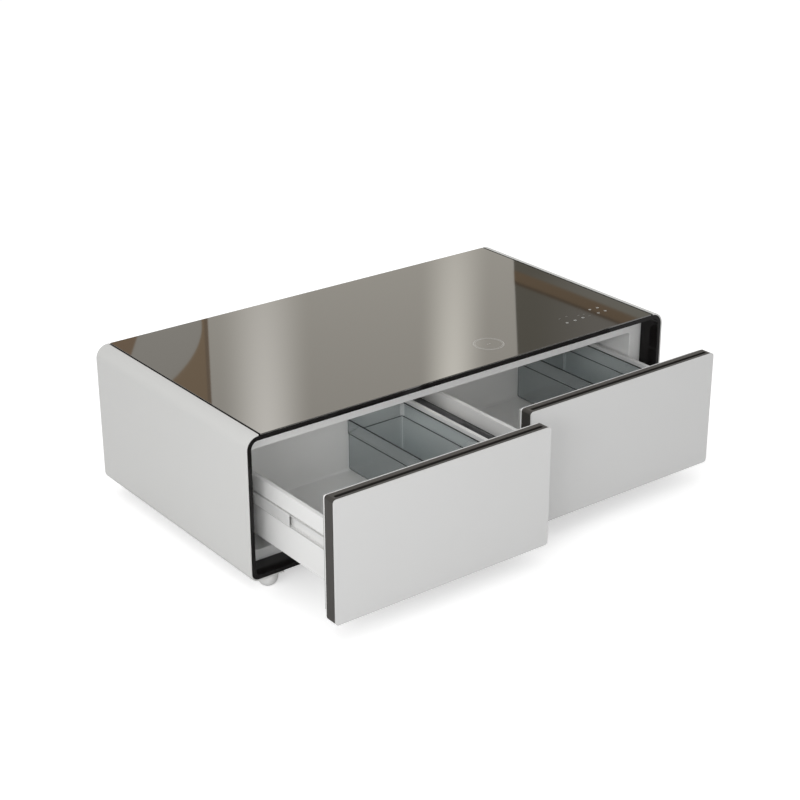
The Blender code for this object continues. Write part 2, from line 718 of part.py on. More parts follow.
def glass_tray(cabinet):
    """The black tray that carries the glass, with the fins that fill the seams."""
    half = TABLE_WIDTH / 2 - ROLL_RADIUS
    tray = box(
        "glass_tray",
        (-half, RECESS_BACK + GAP, TRAY_BOTTOM),
        (half, REAR_INSIDE - GAP, TRAY_TOP),
        BLACK_PLASTIC,
        cabinet,
    )
    for side in (-1, 1):
        edges = sorted((side * (SEAM_EDGE - GAP), side * (SEAM_EDGE - SEAM_WIDTH + GAP)))
        low = (edges[0], FRONT + GLASS_SETBACK, TRAY_TOP - GAP)
        high = (edges[1], BACK - GLASS_SETBACK, TOP - SEAM_DROP)
        join(tray, box(f"seam_fin_{side}", low, high, parent=cabinet))
    square = (2 * CHARGER_RADIUS, 2 * CHARGER_RADIUS)
    for name, centre, size in (("touch", TOUCH_CENTRE, TOUCH_SIZE), ("charger", CHARGER_CENTRE, square)):
        low, high = tray_window(centre, size)
        cut(tray, box(f"{name}_window", low, high, parent=cabinet))


def inner_liner(cabinet):
    """The white cold box: a flange, five walls and the alcove for the evaporator."""
    lap = FRAME_WIDTH - FLANGE_LAP
    half = TABLE_WIDTH / 2 - lap
    outline = rounded_rectangle(
        (-half, FOOT_HEIGHT + lap),
        (half, TOP - lap),
        FRAME_LOWER_RADIUS + FLANGE_LAP,
        FRAME_UPPER_RADIUS + FLANGE_LAP,
    )
    middle = (0, FLANGE_FRONT + LINER_WALL / 2, 0)
    liner = plate("inner_liner", [outline], LINER_WALL, middle, WHITE_PLASTIC, parent=cabinet)
    wall = LINER_WALL
    join(
        liner,
        box(
            "liner_walls",
            (-CAVITY_HALF - wall, FLANGE_FRONT + wall / 2, CAVITY_BOTTOM - wall),
            (CAVITY_HALF + wall, CAVITY_BACK + wall, CAVITY_TOP + wall),
            parent=cabinet,
        ),
        box("alcove_walls", *alcove(wall, CAVITY_BACK, ALCOVE_BACK + wall), parent=cabinet),
    )
    cut(
        liner,
        box(
            "liner_hollow",
            (-CAVITY_HALF, FLANGE_FRONT - OVERRUN, CAVITY_BOTTOM),
            (CAVITY_HALF, CAVITY_BACK, CAVITY_TOP),
            parent=cabinet,
        ),
        box("alcove_hollow", *alcove(0, CAVITY_BACK - OVERRUN, ALCOVE_BACK), parent=cabinet),
    )


def alcove(margin, front, back):
    """Corners of the evaporator's alcove with a margin round it."""
    low = (-ALCOVE_WIDTH / 2 - margin, front, CAVITY_MIDDLE - ALCOVE_HEIGHT / 2 - margin)
    high = (ALCOVE_WIDTH / 2 + margin, back, CAVITY_MIDDLE + ALCOVE_HEIGHT / 2 + margin)
    return low, high


def insulation_foam(cabinet):
    """The foam that fills the space between the cold box and the shell."""
    start = FLANGE_FRONT + LINER_WALL + GAP
    outline = rounded_rectangle(
        (-SHELL_INSIDE, PAN_TOP + GAP),
        (SHELL_INSIDE, TRAY_BOTTOM - GAP),
        LOWER_ROLL_RADIUS - SHELL_THICKNESS,
        ROLL_RADIUS - SHELL_THICKNESS,
    )
    middle = (0, (start + FOAM_FACE) / 2, 0)
    foam = plate("insulation_foam", [outline], FOAM_FACE - start, middle, FOAM, parent=cabinet)
    join(foam, box("alcove_foam", *alcove(FOAM_SIDE, CAVITY_BACK, ALCOVE_FOAM_FACE), parent=cabinet))
    margin = LINER_WALL + GAP
    cut(
        foam,
        box(
            "foam_hollow",
            (-CAVITY_HALF - margin, start - OVERRUN, CAVITY_BOTTOM - margin),
            (CAVITY_HALF + margin, CAVITY_BACK + margin, CAVITY_TOP + margin),
            parent=cabinet,
        ),
        box("foam_alcove_hollow", *alcove(margin, CAVITY_BACK, ALCOVE_BACK + margin), parent=cabinet),
    )


def centre_divider(cabinet):
    """The low hollow post between the drawers."""
    floor = CAVITY_BOTTOM + GAP
    low = Vector((-DIVIDER_HALF, FLANGE_FRONT, floor))
    high = Vector((DIVIDER_HALF, COVER_FRONT - GAP, DIVIDER_TOP))
    divider = box("centre_divider", low, high, WHITE_PLASTIC, cabinet)
    wall = Vector((DIVIDER_WALL, DIVIDER_WALL, 0))
    drop = Vector((0, 0, OVERRUN))
    roof = Vector((0, 0, DIVIDER_WALL))
    cut(divider, box("divider_hollow", low + wall - drop, high - wall - roof, parent=cabinet))


def interior_light(cabinet):
    """The light bar under the ceiling of the cold box."""
    front = FLANGE_FRONT + LIGHT_SETBACK
    ceiling = CAVITY_TOP - GAP
    low = (-LIGHT_LENGTH / 2, front, ceiling - LIGHT_HEIGHT)
    high = (LIGHT_LENGTH / 2, front + LIGHT_WIDTH, ceiling)
    box("interior_light", low, high, LIGHT_DIFFUSER, cabinet)


def grille_slots(centre_x):
    """Outlines of one group of upright slots in the evaporator's cover."""
    slots = []
    for index in range(GRILLE_SLOTS):
        x = centre_x + (index - (GRILLE_SLOTS - 1) / 2) * GRILLE_SLOT_STEP
        slots.append(
            rectangle(
                (x - GRILLE_SLOT_WIDTH / 2, CAVITY_MIDDLE - GRILLE_SLOT_HEIGHT / 2),
                (x + GRILLE_SLOT_WIDTH / 2, CAVITY_MIDDLE + GRILLE_SLOT_HEIGHT / 2),
            )
        )
    return slots


def evaporator_cover(cabinet):
    """The grille over the alcove: air out in the middle, air back at both ends."""
    low, high = alcove(COVER_LAP, 0, 0)
    outline = rectangle((low[0], low[2]), (high[0], high[2]))
    loops = [outline]
    for centre_x in (-RETURN_OFFSET, 0, RETURN_OFFSET):
        loops += grille_slots(centre_x)
    middle = (0, COVER_FRONT + COVER_THICKNESS / 2, 0)
    plate("evaporator_cover", loops, COVER_THICKNESS, middle, WHITE_PLASTIC, parent=cabinet)


def evaporator(cabinet):
    """The finned cold plate on the back wall of the alcove."""
    right = ALCOVE_WIDTH / 2 - EVAPORATOR_SIDE_MARGIN
    left = -right
    pitch = (right - left - FIN_THICKNESS) / (FIN_COUNT - 1)
    back = ALCOVE_BACK - GAP
    points = [(right, back), (left, back)]
    for index in range(FIN_COUNT):
        x = left + index * pitch
        tip = back - EVAPORATOR_DEPTH
        root = back - EVAPORATOR_BACK
        start = [] if index == 0 else [(x, root)]
        end = [] if index == FIN_COUNT - 1 else [(x + FIN_THICKNESS, root)]
        points += [*start, (x, tip), (x + FIN_THICKNESS, tip), *end]
    at = (0, 0, CAVITY_MIDDLE)
    height = ALCOVE_HEIGHT - 2 * EVAPORATOR_END_MARGIN
    plate("evaporator", [points], height, at, FIN_ALUMINIUM, turn=(0, 0, 0), parent=cabinet)


def fan_frame(name, size, depth, carrier):
    """A square fan housing with a round bore and a spider that carries the motor."""
    half = size / 2
    frame = box(name, (-half, -half, 0), (half, half, depth), BLACK_PLASTIC, carrier)
    bore = half - FAN_RIM
    cut(frame, cylinder(f"{name}_bore", bore, depth + 2 * OVERRUN, (0, 0, depth / 2), parent=carrier))
    arm = FAN_SPIDER_WIDTH / 2
    reach = half - FAN_RIM / 2
    join(
        frame,
        box(f"{name}_arm_x", (-reach, -arm, 0), (reach, arm, FAN_SPIDER_THICKNESS), parent=carrier),
        box(f"{name}_arm_y", (-arm, -reach, 0), (arm, reach, FAN_SPIDER_THICKNESS), parent=carrier),
    )
    seat = (0, 0, FAN_SPIDER_THICKNESS / 2)
    join(frame, cylinder(f"{name}_seat", FAN_HUB_RADIUS, FAN_SPIDER_THICKNESS, seat, parent=carrier))
    hole = FAN_SHAFT_RADIUS + FAN_SHAFT_CLEARANCE
    cut(frame, cylinder(f"{name}_hole", hole, FAN_SPIDER_THICKNESS + 2 * OVERRUN, seat, parent=carrier))
    return frame


def fan_rotor(name, size, depth, carrier):
    """A hub with its shaft and swept blades, turning about its own Z."""
    bottom = FAN_SPIDER_THICKNESS + GAP
    top = depth - GAP
    middle = (bottom + top) / 2
    hub_length = top - bottom
    rotor = cylinder(name, FAN_HUB_RADIUS, hub_length, (0, 0, middle), BLACK_PLASTIC, parent=carrier)
    shaft_middle = (0, 0, bottom - FAN_SHAFT_LENGTH / 2 + GAP)
    shaft_length = FAN_SHAFT_LENGTH + 2 * GAP
    join(rotor, cylinder(f"{name}_shaft", FAN_SHAFT_RADIUS, shaft_length, shaft_middle, parent=carrier))
    root = FAN_HUB_RADIUS / 2
    tip = size / 2 - FAN_RIM - FAN_TIP_CLEARANCE
    chord = hub_length / math.sin(FAN_BLADE_PITCH) - FAN_BLADE_THICKNESS / math.tan(FAN_BLADE_PITCH)
    chord *= FAN_CHORD_SHARE
    for index in range(FAN_BLADES):
        angle = 2 * math.pi * index / FAN_BLADES
        shape = bmesh.new()
        bmesh.ops.create_cube(shape, size=1)
        bmesh.ops.scale(shape, vec=(tip - root, chord, FAN_BLADE_THICKNESS), verts=shape.verts)
        blade_name = f"{name}_blade_{index}"
        reach = (root + tip) / 2
        at = (reach * math.cos(angle), reach * math.sin(angle), middle)
        blade = place(blade_name, mesh_from(blade_name, shape), None, at=at, parent=carrier)
        blade.rotation_euler = (FAN_BLADE_PITCH, 0, angle)
        join(rotor, blade)
    return rotor


def evaporator_fan(cabinet):
    """The small fan behind the grille."""
    carrier = empty("evaporator_fan_axis", (0, COVER_FRONT + COVER_THICKNESS + GAP, CAVITY_MIDDLE), cabinet)
    carrier.rotation_euler = (-math.pi / 2, 0, 0)
    fan_frame("evaporator_fan_frame", EVAPORATOR_FAN_SIZE, EVAPORATOR_FAN_DEPTH, carrier)
    fan_rotor("evaporator_fan_rotor", EVAPORATOR_FAN_SIZE, EVAPORATOR_FAN_DEPTH, carrier)


def condenser_fan(cabinet):
    """The fan that blows over the compressor, standing on the floor pan."""
    height = PAN_TOP + GAP + CONDENSER_FAN_SIZE / 2
    carrier = empty("condenser_fan_axis", (CONDENSER_FAN_X, MACHINE_MIDDLE, height), cabinet)
    carrier.rotation_euler = (0, math.pi / 2, 0)
    fan_frame("condenser_fan_frame", CONDENSER_FAN_SIZE, CONDENSER_FAN_DEPTH, carrier)
    fan_rotor("condenser_fan_rotor", CONDENSER_FAN_SIZE, CONDENSER_FAN_DEPTH, carrier)


def compressor_outline():
    """Outline of the compressor's base, centred on its axis."""
    along = COMPRESSOR_PLATE_LENGTH / 2
    across = COMPRESSOR_PLATE_WIDTH / 2
    return rounded_rectangle((-along, -across), (along, across), PLATE_CORNER_RADIUS, PLATE_CORNER_RADIUS)


def compressor(cabinet):
    """The compressor on its base plate and rubber mount."""
    centre = (COMPRESSOR_X, MACHINE_MIDDLE)
    mount_bottom = PAN_TOP + GAP
    mount_top = mount_bottom + MOUNT_HEIGHT
    along = COMPRESSOR_PLATE_LENGTH / 2 - MOUNT_WALL
    across = COMPRESSOR_PLATE_WIDTH / 2 - MOUNT_WALL
    hole = rectangle((-along, -across), (along, across))
    middle = (*centre, mount_bottom + MOUNT_HEIGHT / 2)
    flat = (0, 0, 0)
    plate("compressor_mount", [compressor_outline(), hole], MOUNT_HEIGHT, middle, BLACK_RUBBER, flat, cabinet)
    bottom = mount_top + GAP
    profile = scaled_profile(COMPRESSOR_PROFILE_SHARES, COMPRESSOR_RADIUS, COMPRESSOR_HEIGHT)
    pot = turned("compressor", profile, (*centre, bottom), BLACK_ENAMEL, parent=cabinet)
    plate_at = (*centre, bottom + COMPRESSOR_PLATE_THICKNESS / 2)
    base = plate(
        "compressor_plate",
        [compressor_outline()],
        COMPRESSOR_PLATE_THICKNESS,
        plate_at,
        turn=flat,
        parent=cabinet,
    )
    join(pot, base)


def condenser_path():
    """The middle line of the coil: level runs joined by half turns."""
    y = REAR_INSIDE - GAP - TUBE_RADIUS
    reach = CONDENSER_WIDTH / 2
    radius = CONDENSER_STEP / 2
    path = []
    for run in range(CONDENSER_PASSES):
        z = CONDENSER_BOTTOM + run * CONDENSER_STEP
        side = 1 if run % 2 == 0 else -1
        path.append((-side * (reach - radius), y, z))
        path.append((side * (reach - radius), y, z))
        if run < CONDENSER_PASSES - 1:
            bend = arc((reach - radius, z + radius), radius, -90, 90, TURN_STEPS)
            path += [(side * x, y, height) for x, height in bend[1:-1]]
    return path


def condenser(cabinet):
    """The coil clipped behind the back cover, and the drier at its lower end."""
    path = condenser_path()
    tube("condenser", path, TUBE_RADIUS, BLACK_ENAMEL, cabinet)
    start_x, y, z = path[0]
    profile = scaled_profile(DRIER_PROFILE_SHARES, DRIER_RADIUS, DRIER_LENGTH)
    at = (start_x - GAP, REAR_INSIDE - GAP - DRIER_RADIUS, z)
    turned("filter_drier", profile, at, COPPER, turn=(0, -math.pi / 2, 0), parent=cabinet)


def discharge_pipe(cabinet):
    """The pipe from the top of the compressor to the upper end of the coil."""
    top = PAN_TOP + MOUNT_HEIGHT + 3 * GAP + COMPRESSOR_HEIGHT
    end = Vector(condenser_path()[-1]) - Vector((GAP, 0, 0))
    start = Vector((COMPRESSOR_X, MACHINE_MIDDLE, top))
    route = [start, Vector((start.x, start.y, end.z)), end - Vector((PIPE_LEAD, 0, 0)), end]
    tube("discharge_pipe", bent_path(route), TUBE_RADIUS, COPPER, cabinet)


def suction_pipe(cabinet):
    """The pipe from the cold plate's alcove to the side of the compressor."""
    out = Vector((SUCTION_X, ALCOVE_FOAM_FACE + GAP, PAN_TOP + SUCTION_RISE))
    port = Vector((COMPRESSOR_X + COMPRESSOR_RADIUS + GAP, MACHINE_MIDDLE, PAN_TOP + MOUNT_HEIGHT))
    port.z += COMPRESSOR_HEIGHT * SUCTION_PORT_SHARE
    drop = port + Vector((PIPE_LEAD, 0, 0))
    route = [out, Vector((out.x, port.y, out.z)), Vector((drop.x, port.y, out.z)), drop, port]
    tube("suction_pipe", bent_path(route), TUBE_RADIUS, COPPER, cabinet)


def drip_tray(cabinet):
    """The tray that takes the melt water, under the coil."""
    half = DRIP_LENGTH / 2
    low = Vector((-half, ALCOVE_FOAM_FACE + DRIP_MARGIN, PAN_TOP + GAP))
    high = Vector((half, REAR_INSIDE - DRIP_MARGIN, PAN_TOP + GAP + DRIP_HEIGHT))
    tray = box("drip_tray", low, high, BLACK_PLASTIC, cabinet)
    wall = Vector((DRIP_WALL, DRIP_WALL, DRIP_WALL))
    rise = Vector((0, 0, DRIP_WALL + OVERRUN))
    cut(tray, box("drip_tray_hollow", low + wall, high - wall + rise, parent=cabinet))


def power_supply(cabinet):
    """The boxed supply on the floor pan."""
    half = SUPPLY_WIDTH / 2
    low = (SUPPLY_X - half, MACHINE_MIDDLE - SUPPLY_DEPTH / 2, PAN_TOP + GAP)
    high = (SUPPLY_X + half, MACHINE_MIDDLE + SUPPLY_DEPTH / 2, PAN_TOP + GAP + SUPPLY_HEIGHT)
    box("power_supply", low, high, ZINC, cabinet)


def control_board(cabinet):
    """The circuit board on its standoffs, with its larger parts."""
    board_bottom = PAN_TOP + GAP + STANDOFF_HEIGHT
    board_top = board_bottom + BOARD_THICKNESS
    across = BOARD_WIDTH / 2
    along = BOARD_DEPTH / 2
    low = (BOARD_X - across, MACHINE_MIDDLE - along, board_bottom)
    high = (BOARD_X + across, MACHINE_MIDDLE + along, board_top)
    board = box("control_board", low, high, BOARD_GREEN, cabinet)
    for x_side in (-1, 1):
        for y_side in (-1, 1):
            x = BOARD_X + x_side * (across - STANDOFF_INSET)
            y = MACHINE_MIDDLE + y_side * (along - STANDOFF_INSET)
            length = STANDOFF_HEIGHT + GAP
            at = (x, y, board_bottom - STANDOFF_HEIGHT + length / 2)
            join(board, cylinder(f"standoff_{x_side}_{y_side}", STANDOFF_RADIUS, length, at, parent=cabinet))
    for index, (x_share, y_share, width_share, depth_share, height_share) in enumerate(BOARD_BLOCK_SHARES):
        x = BOARD_X + BOARD_WIDTH * x_share
        y = MACHINE_MIDDLE + BOARD_DEPTH * y_share
        half_width = BOARD_WIDTH * width_share / 2
        half_depth = BOARD_DEPTH * depth_share / 2
        low = (x - half_width, y - half_depth, board_top - GAP)
        high = (x + half_width, y + half_depth, board_top + BOARD_WIDTH * height_share)
        join(board, box(f"board_block_{index}", low, high, parent=cabinet))


def mains_inlet(cabinet):
    """The corner plate of the back cover with the mains socket in it."""
    middle = (0, REAR_FACE - REAR_THICKNESS / 2, 0)
    outline = rear_outlines()[1]
    inlet = plate("mains_inlet", [outline], REAR_THICKNESS, middle, BLACK_PLASTIC, parent=cabinet)
    body_width = INLET_BODY_WIDTH / 2
    body_height = INLET_BODY_HEIGHT / 2
    low = (INLET_X - body_width, REAR_FACE - INLET_BODY_DEPTH, INLET_Z - body_height)
    high = (INLET_X + body_width, REAR_INSIDE + GAP, INLET_Z + body_height)
    join(inlet, box("inlet_body", low, high, parent=cabinet))
    socket_width = INLET_SOCKET_WIDTH / 2
    socket_height = INLET_SOCKET_HEIGHT / 2
    low = (INLET_X - socket_width, REAR_FACE - INLET_SOCKET_DEPTH, INLET_Z - socket_height)
    high = (INLET_X + socket_width, REAR_FACE + OVERRUN, INLET_Z + socket_height)
    cut(inlet, box("inlet_socket", low, high, parent=cabinet))


def touch_board(cabinet):
    """The touch sensor under the glass."""
    x, y = TOUCH_CENTRE
    top = GLASS_BOTTOM - GAP
    low = (x - TOUCH_SIZE[0] / 2, y - TOUCH_SIZE[1] / 2, top - BOARD_THICKNESS)
    high = (x + TOUCH_SIZE[0] / 2, y + TOUCH_SIZE[1] / 2, top)
    box("touch_board", low, high, BOARD_GREEN, cabinet)


def charger_coil(cabinet):
    """The flat charging coil under the glass, grooved between its turns."""
    hole = CHARGER_RADIUS * CHARGER_HOLE_SHARE
    pitch = (CHARGER_RADIUS - hole) / CHARGER_TURNS
    groove = CHARGER_THICKNESS * CHARGER_GROOVE_SHARE
    profile = [(0, CHARGER_THICKNESS), (hole, CHARGER_THICKNESS)]
    for index in range(1, CHARGER_TURNS):
        radius = hole + index * pitch
        half = pitch * CHARGER_GROOVE_SHARE / 2
        profile += [(radius - half, CHARGER_THICKNESS), (radius - half, groove)]
        profile += [(radius + half, groove), (radius + half, CHARGER_THICKNESS)]
    profile += [(CHARGER_RADIUS, CHARGER_THICKNESS), (CHARGER_RADIUS, 0), (0, 0)]
    at = (*CHARGER_CENTRE, GLASS_BOTTOM - GAP - CHARGER_THICKNESS)
    turned("charger_coil", profile, at, COPPER, parent=cabinet)


def rail(name, side, web, tip, half_height, carrier):
    """One bent rail of a slide, with its web and leg tips measured from the wall to the drawer."""
    wall = TUB_WIDTH / 2 + TUB_SIDE_CLEARANCE
    outline = [(tip, half_height), (web, half_height), (web, -half_height), (tip, -half_height)]
    points = [(side * (wall - x), z) for x, z in outline]
    at = (0, 0, RAIL_MIDDLE)
    strip(name, points, RAIL_STEEL, RAIL_START, RAIL_LENGTH, RAIL_STEEL_FINISH, carrier, at)


def slide_rails(hand, outer, middle, inner):
    """The two telescopic slides of a drawer."""
    outer_half = (RAIL_HEIGHT - RAIL_STEEL) / 2
    middle_half = outer_half - RAIL_STEEL - GAP
    inner_half = middle_half - RAIL_STEEL - GAP
    outer_web = GAP + RAIL_STEEL / 2
    middle_web = outer_web + MIDDLE_RAIL_OFFSET
    inner_web = SLIDE_SPACE - GAP - RAIL_STEEL / 2
    for side, side_name in ((-1, "left"), (1, "right")):
        name = f"{hand}_drawer_outer_rail_{side_name}"
        rail(name, side, outer_web, SLIDE_SPACE - OUTER_TIP_CLEARANCE, outer_half, outer)
        name = f"{hand}_drawer_middle_rail_{side_name}"
        rail(name, side, middle_web, SLIDE_SPACE - MIDDLE_TIP_CLEARANCE, middle_half, middle)
        name = f"{hand}_drawer_inner_rail_{side_name}"
        rail(name, side, inner_web, middle_web + INNER_TIP_CLEARANCE, inner_half, inner)


def front_outline(inset):
    """Outline of a drawer front, brought in by an inset."""
    half = FACE_WIDTH / 2 - inset
    radius = FACE_CORNER_RADIUS - inset
    low = (-half, FACE_BOTTOM + inset)
    high = (half, FACE_BOTTOM + FACE_HEIGHT - inset)
    return rounded_rectangle(low, high, radius, radius)


def front_opening(inset):
    """Outline of a plain opening in a drawer front."""
    half = FACE_WIDTH / 2 - inset
    return rectangle((-half, FACE_BOTTOM + inset), (half, FACE_BOTTOM + FACE_HEIGHT - inset))


def drawer_front(hand, drawer):
    """The white face, the bronze band with its finger groove, the core and the inner plate."""
    middle = (0, FACE_THICKNESS / 2, 0)
    plate(f"{hand}_drawer_face", [front_outline(0)], FACE_THICKNESS, middle, WHITE_LACQUER, parent=drawer)
    start = FACE_THICKNESS + GAP
    end = FACE_THICKNESS + BAND_DEPTH
    depth = end - start
    middle = (0, (start + end) / 2, 0)
    loops = [front_outline(BAND_INSET), front_opening(BAND_WALL)]
    band = plate(f"{hand}_drawer_band", loops, depth, middle, BRONZE, parent=drawer)
    half = FACE_WIDTH / 2 - GROOVE_END_MARGIN
    top = FACE_BOTTOM + FACE_HEIGHT - BAND_INSET
    low = (-half, FACE_THICKNESS + GROOVE_SETBACK, top - GROOVE_DEPTH)
    high = (half, FACE_THICKNESS + GROOVE_SETBACK + GROOVE_WIDTH, top + OVERRUN)
    cut(band, box(f"{hand}_finger_groove", low, high, parent=drawer))
    half = FACE_WIDTH / 2 - BAND_WALL - GAP
    low = (-half, start, FACE_BOTTOM + BAND_WALL + GAP)
    high = (half, end, FACE_BOTTOM + FACE_HEIGHT - BAND_WALL - GAP)
    box(f"{hand}_drawer_core", low, high, FOAM, drawer)
    start = end + GAP
    middle = (0, (start + FRONT_THICKNESS) / 2, 0)
    depth = FRONT_THICKNESS - start
    outline = front_outline(INNER_PLATE_INSET)
    plate(f"{hand}_drawer_inner_plate", [outline], depth, middle, WHITE_PLASTIC, parent=drawer)


def drawer_gasket(hand, drawer):
    """The seal on the back of a drawer front."""
    start = FRONT_THICKNESS + GAP
    depth = RECESS_DEPTH - GAP - start
    middle = (0, start + depth / 2, 0)
    loops = [front_opening(GASKET_INSET), front_opening(GASKET_INSET + GASKET_WIDTH)]
    plate(f"{hand}_drawer_gasket", loops, depth, middle, GASKET_RUBBER, parent=drawer)


def drawer_tub(hand, drawer):
    """The white tub with a long recess in each side for its slide."""
    end = TUB_START + TUB_DEPTH
    half = TUB_WIDTH / 2
    low = (-half, TUB_START, TUB_BOTTOM)
    high = (half, end, TUB_TOP)
    tub = box(f"{hand}_drawer_tub", low, high, WHITE_PLASTIC, drawer)
    soften(tub, TUB_EDGE)
    inside = half - TUB_SIDE_WALL
    low = (-inside, TUB_START + TUB_FRONT_WALL, TUB_BOTTOM + TUB_FLOOR)
    high = (inside, end - TUB_BACK_WALL, TUB_TOP + OVERRUN)
    cut(tub, box(f"{hand}_tub_hollow", low, high, parent=drawer))
    rise = RAIL_HEIGHT / 2 + RAIL_CLEARANCE
    for side in (-1, 1):
        edges = sorted((side * (half - SLIDE_RECESS), side * (half + OVERRUN)))
        low = (edges[0], TUB_START - OVERRUN, RAIL_MIDDLE - rise)
        high = (edges[1], end + OVERRUN, RAIL_MIDDLE + rise)
        cut(tub, box(f"{hand}_slide_recess_{side}", low, high, parent=drawer))


def drawer_bin(hand, drawer):
    """The smoked bin at the right of a tub, stepped below its lip."""
    right = TUB_WIDTH / 2 - TUB_SIDE_WALL - BIN_CLEARANCE
    front = TUB_START + TUB_FRONT_WALL + BIN_CLEARANCE
    back = TUB_START + TUB_DEPTH - TUB_BACK_WALL - BIN_CLEARANCE
    floor = TUB_BOTTOM + TUB_FLOOR + GAP
    top = TUB_TOP - BIN_DROP
    low = Vector((right - BIN_WIDTH, front, top - BIN_LIP_HEIGHT))
    high = Vector((right, back, top))
    bin_body = box(f"{hand}_drawer_bin", low, high, SMOKED_PLASTIC, drawer)
    step = Vector((BIN_LIP_STEP, BIN_LIP_STEP, 0))
    lower_low = Vector((low.x, low.y, floor)) + step
    lower_high = Vector((high.x, high.y, low.z + BIN_WALL)) - step
    join(bin_body, box(f"{hand}_bin_lower", lower_low, lower_high, parent=drawer))
    wall = Vector((BIN_WALL, BIN_WALL, 0))
    rise = Vector((0, 0, OVERRUN))
    ledge = Vector((0, 0, BIN_WALL))
    cut(
        bin_body,
        box(f"{hand}_bin_lip_hollow", low + wall + ledge, high - wall + rise, parent=drawer),
        box(f"{hand}_bin_hollow", lower_low + wall + ledge, lower_high - wall + rise, parent=drawer),
    )


def drawer(hand, side, pull, cabinet):
    """A whole drawer with its slides, standing open by its pull."""
    x = side * DRAWER_OFFSET
    closed = empty(f"{hand}_slide_fixed", (x, FRONT, 0), cabinet)
    half_way = empty(f"{hand}_slide_middle", (x, FRONT - pull / 2, 0), cabinet)
    moving = empty(f"{hand}_drawer", (x, FRONT - pull, 0), cabinet)
    slide_rails(hand, closed, half_way, moving)
    drawer_front(hand, moving)
    drawer_gasket(hand, moving)
    drawer_tub(hand, moving)
    drawer_bin(hand, moving)


def build_table():
    """Builds the cabinet, its machinery and both drawers."""
    cabinet = empty("cabinet", (0, max(LEFT_PULL, RIGHT_PULL) / 2, 0))
    side_panel("left_side_panel", -1, cabinet)
    side_panel("right_side_panel", 1, cabinet)
    front_rim(cabinet)
    rear_panel(cabinet)
    base_pan(cabinet)
    feet(cabinet)
    glass_top(cabinet)
    glass_tray(cabinet)
    inner_liner(cabinet)
    insulation_foam(cabinet)
    centre_divider(cabinet)
    interior_light(cabinet)
    evaporator_cover(cabinet)
    evaporator(cabinet)
    evaporator_fan(cabinet)
    condenser_fan(cabinet)
    compressor(cabinet)
    condenser(cabinet)
    discharge_pipe(cabinet)
    suction_pipe(cabinet)
    drip_tray(cabinet)
    power_supply(cabinet)
    control_board(cabinet)
    mains_inlet(cabinet)
    touch_board(cabinet)
    charger_coil(cabinet)
    drawer("left", -1, LEFT_PULL, cabinet)
    drawer("right", 1, RIGHT_PULL, cabinet)


build_table()
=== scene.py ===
"""Refrigerator coffee table: the looks of every piece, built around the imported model."""

import json
import logging
import math
from collections.abc import Sequence
from dataclasses import dataclass, replace
from enum import Enum

import bmesh
import bpy
from mathutils import Matrix, Vector

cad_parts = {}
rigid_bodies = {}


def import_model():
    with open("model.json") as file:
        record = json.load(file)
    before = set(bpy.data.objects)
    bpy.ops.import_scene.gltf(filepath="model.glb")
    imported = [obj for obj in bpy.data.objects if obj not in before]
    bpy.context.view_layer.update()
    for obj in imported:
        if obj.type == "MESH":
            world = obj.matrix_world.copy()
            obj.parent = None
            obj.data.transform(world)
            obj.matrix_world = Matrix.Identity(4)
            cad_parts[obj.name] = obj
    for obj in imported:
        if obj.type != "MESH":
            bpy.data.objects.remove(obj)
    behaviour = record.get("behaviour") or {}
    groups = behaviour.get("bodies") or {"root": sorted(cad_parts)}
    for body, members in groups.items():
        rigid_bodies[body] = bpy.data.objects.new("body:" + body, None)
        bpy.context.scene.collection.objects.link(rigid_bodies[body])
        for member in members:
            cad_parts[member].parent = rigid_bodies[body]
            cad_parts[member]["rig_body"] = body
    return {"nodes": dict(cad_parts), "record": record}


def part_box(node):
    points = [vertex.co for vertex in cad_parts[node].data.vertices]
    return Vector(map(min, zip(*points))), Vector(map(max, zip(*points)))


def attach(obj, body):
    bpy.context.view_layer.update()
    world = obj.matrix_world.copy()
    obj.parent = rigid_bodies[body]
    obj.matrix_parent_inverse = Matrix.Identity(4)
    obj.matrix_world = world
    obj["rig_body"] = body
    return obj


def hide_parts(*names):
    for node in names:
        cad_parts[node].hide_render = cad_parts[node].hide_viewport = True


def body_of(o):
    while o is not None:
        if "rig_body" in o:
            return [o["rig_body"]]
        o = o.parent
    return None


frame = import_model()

LOG = logging.getLogger("coffee_table")

Pair = tuple[float, float]
Triple = tuple[float, float, float]
Mesh = bmesh.types.BMesh
Tree = bpy.types.NodeTree
Node = bpy.types.Node
Socket = bpy.types.NodeSocket

SHARP = 0.0002          # radius of a corner that stays sharp
NEAR = SHARP / 10       # points nearer than this belong to one bend
WELD = SHARP / 50       # points nearer than this are one
UPWARD = 0.9            # least rise of a normal that points up
WHITE = (1, 1, 1, 1)


# Node trees

def feed(tree: Tree, node: Node, **settings: object) -> Node:
    """Sets a node's properties, and sets or links its inputs.

    Args:
        tree: the node's tree.
        node: the node.
        settings: properties of the node; a key like in_Scale stands for the input named Scale,
            and its value is a number, a colour, or the output or node that feeds it.

    Returns:
        The node.
    """
    for key, value in settings.items():
        if not key.startswith("in_"):
            setattr(node, key, value)
            continue
        label = key.removeprefix("in_")
        socket = node.inputs[int(label) if label.isdigit() else label.replace("_", " ")]
        if isinstance(value, Node):
            value = value.outputs[0]
        if isinstance(value, Socket):
            tree.links.new(value, socket)
        else:
            socket.default_value = value
    return node


def add_node(tree: Tree, kind: str, **settings: object) -> Node:
    """Adds a shader node, named by the end of its type, and feeds it."""
    return feed(tree, tree.nodes.new(f"ShaderNode{kind}"), **settings)


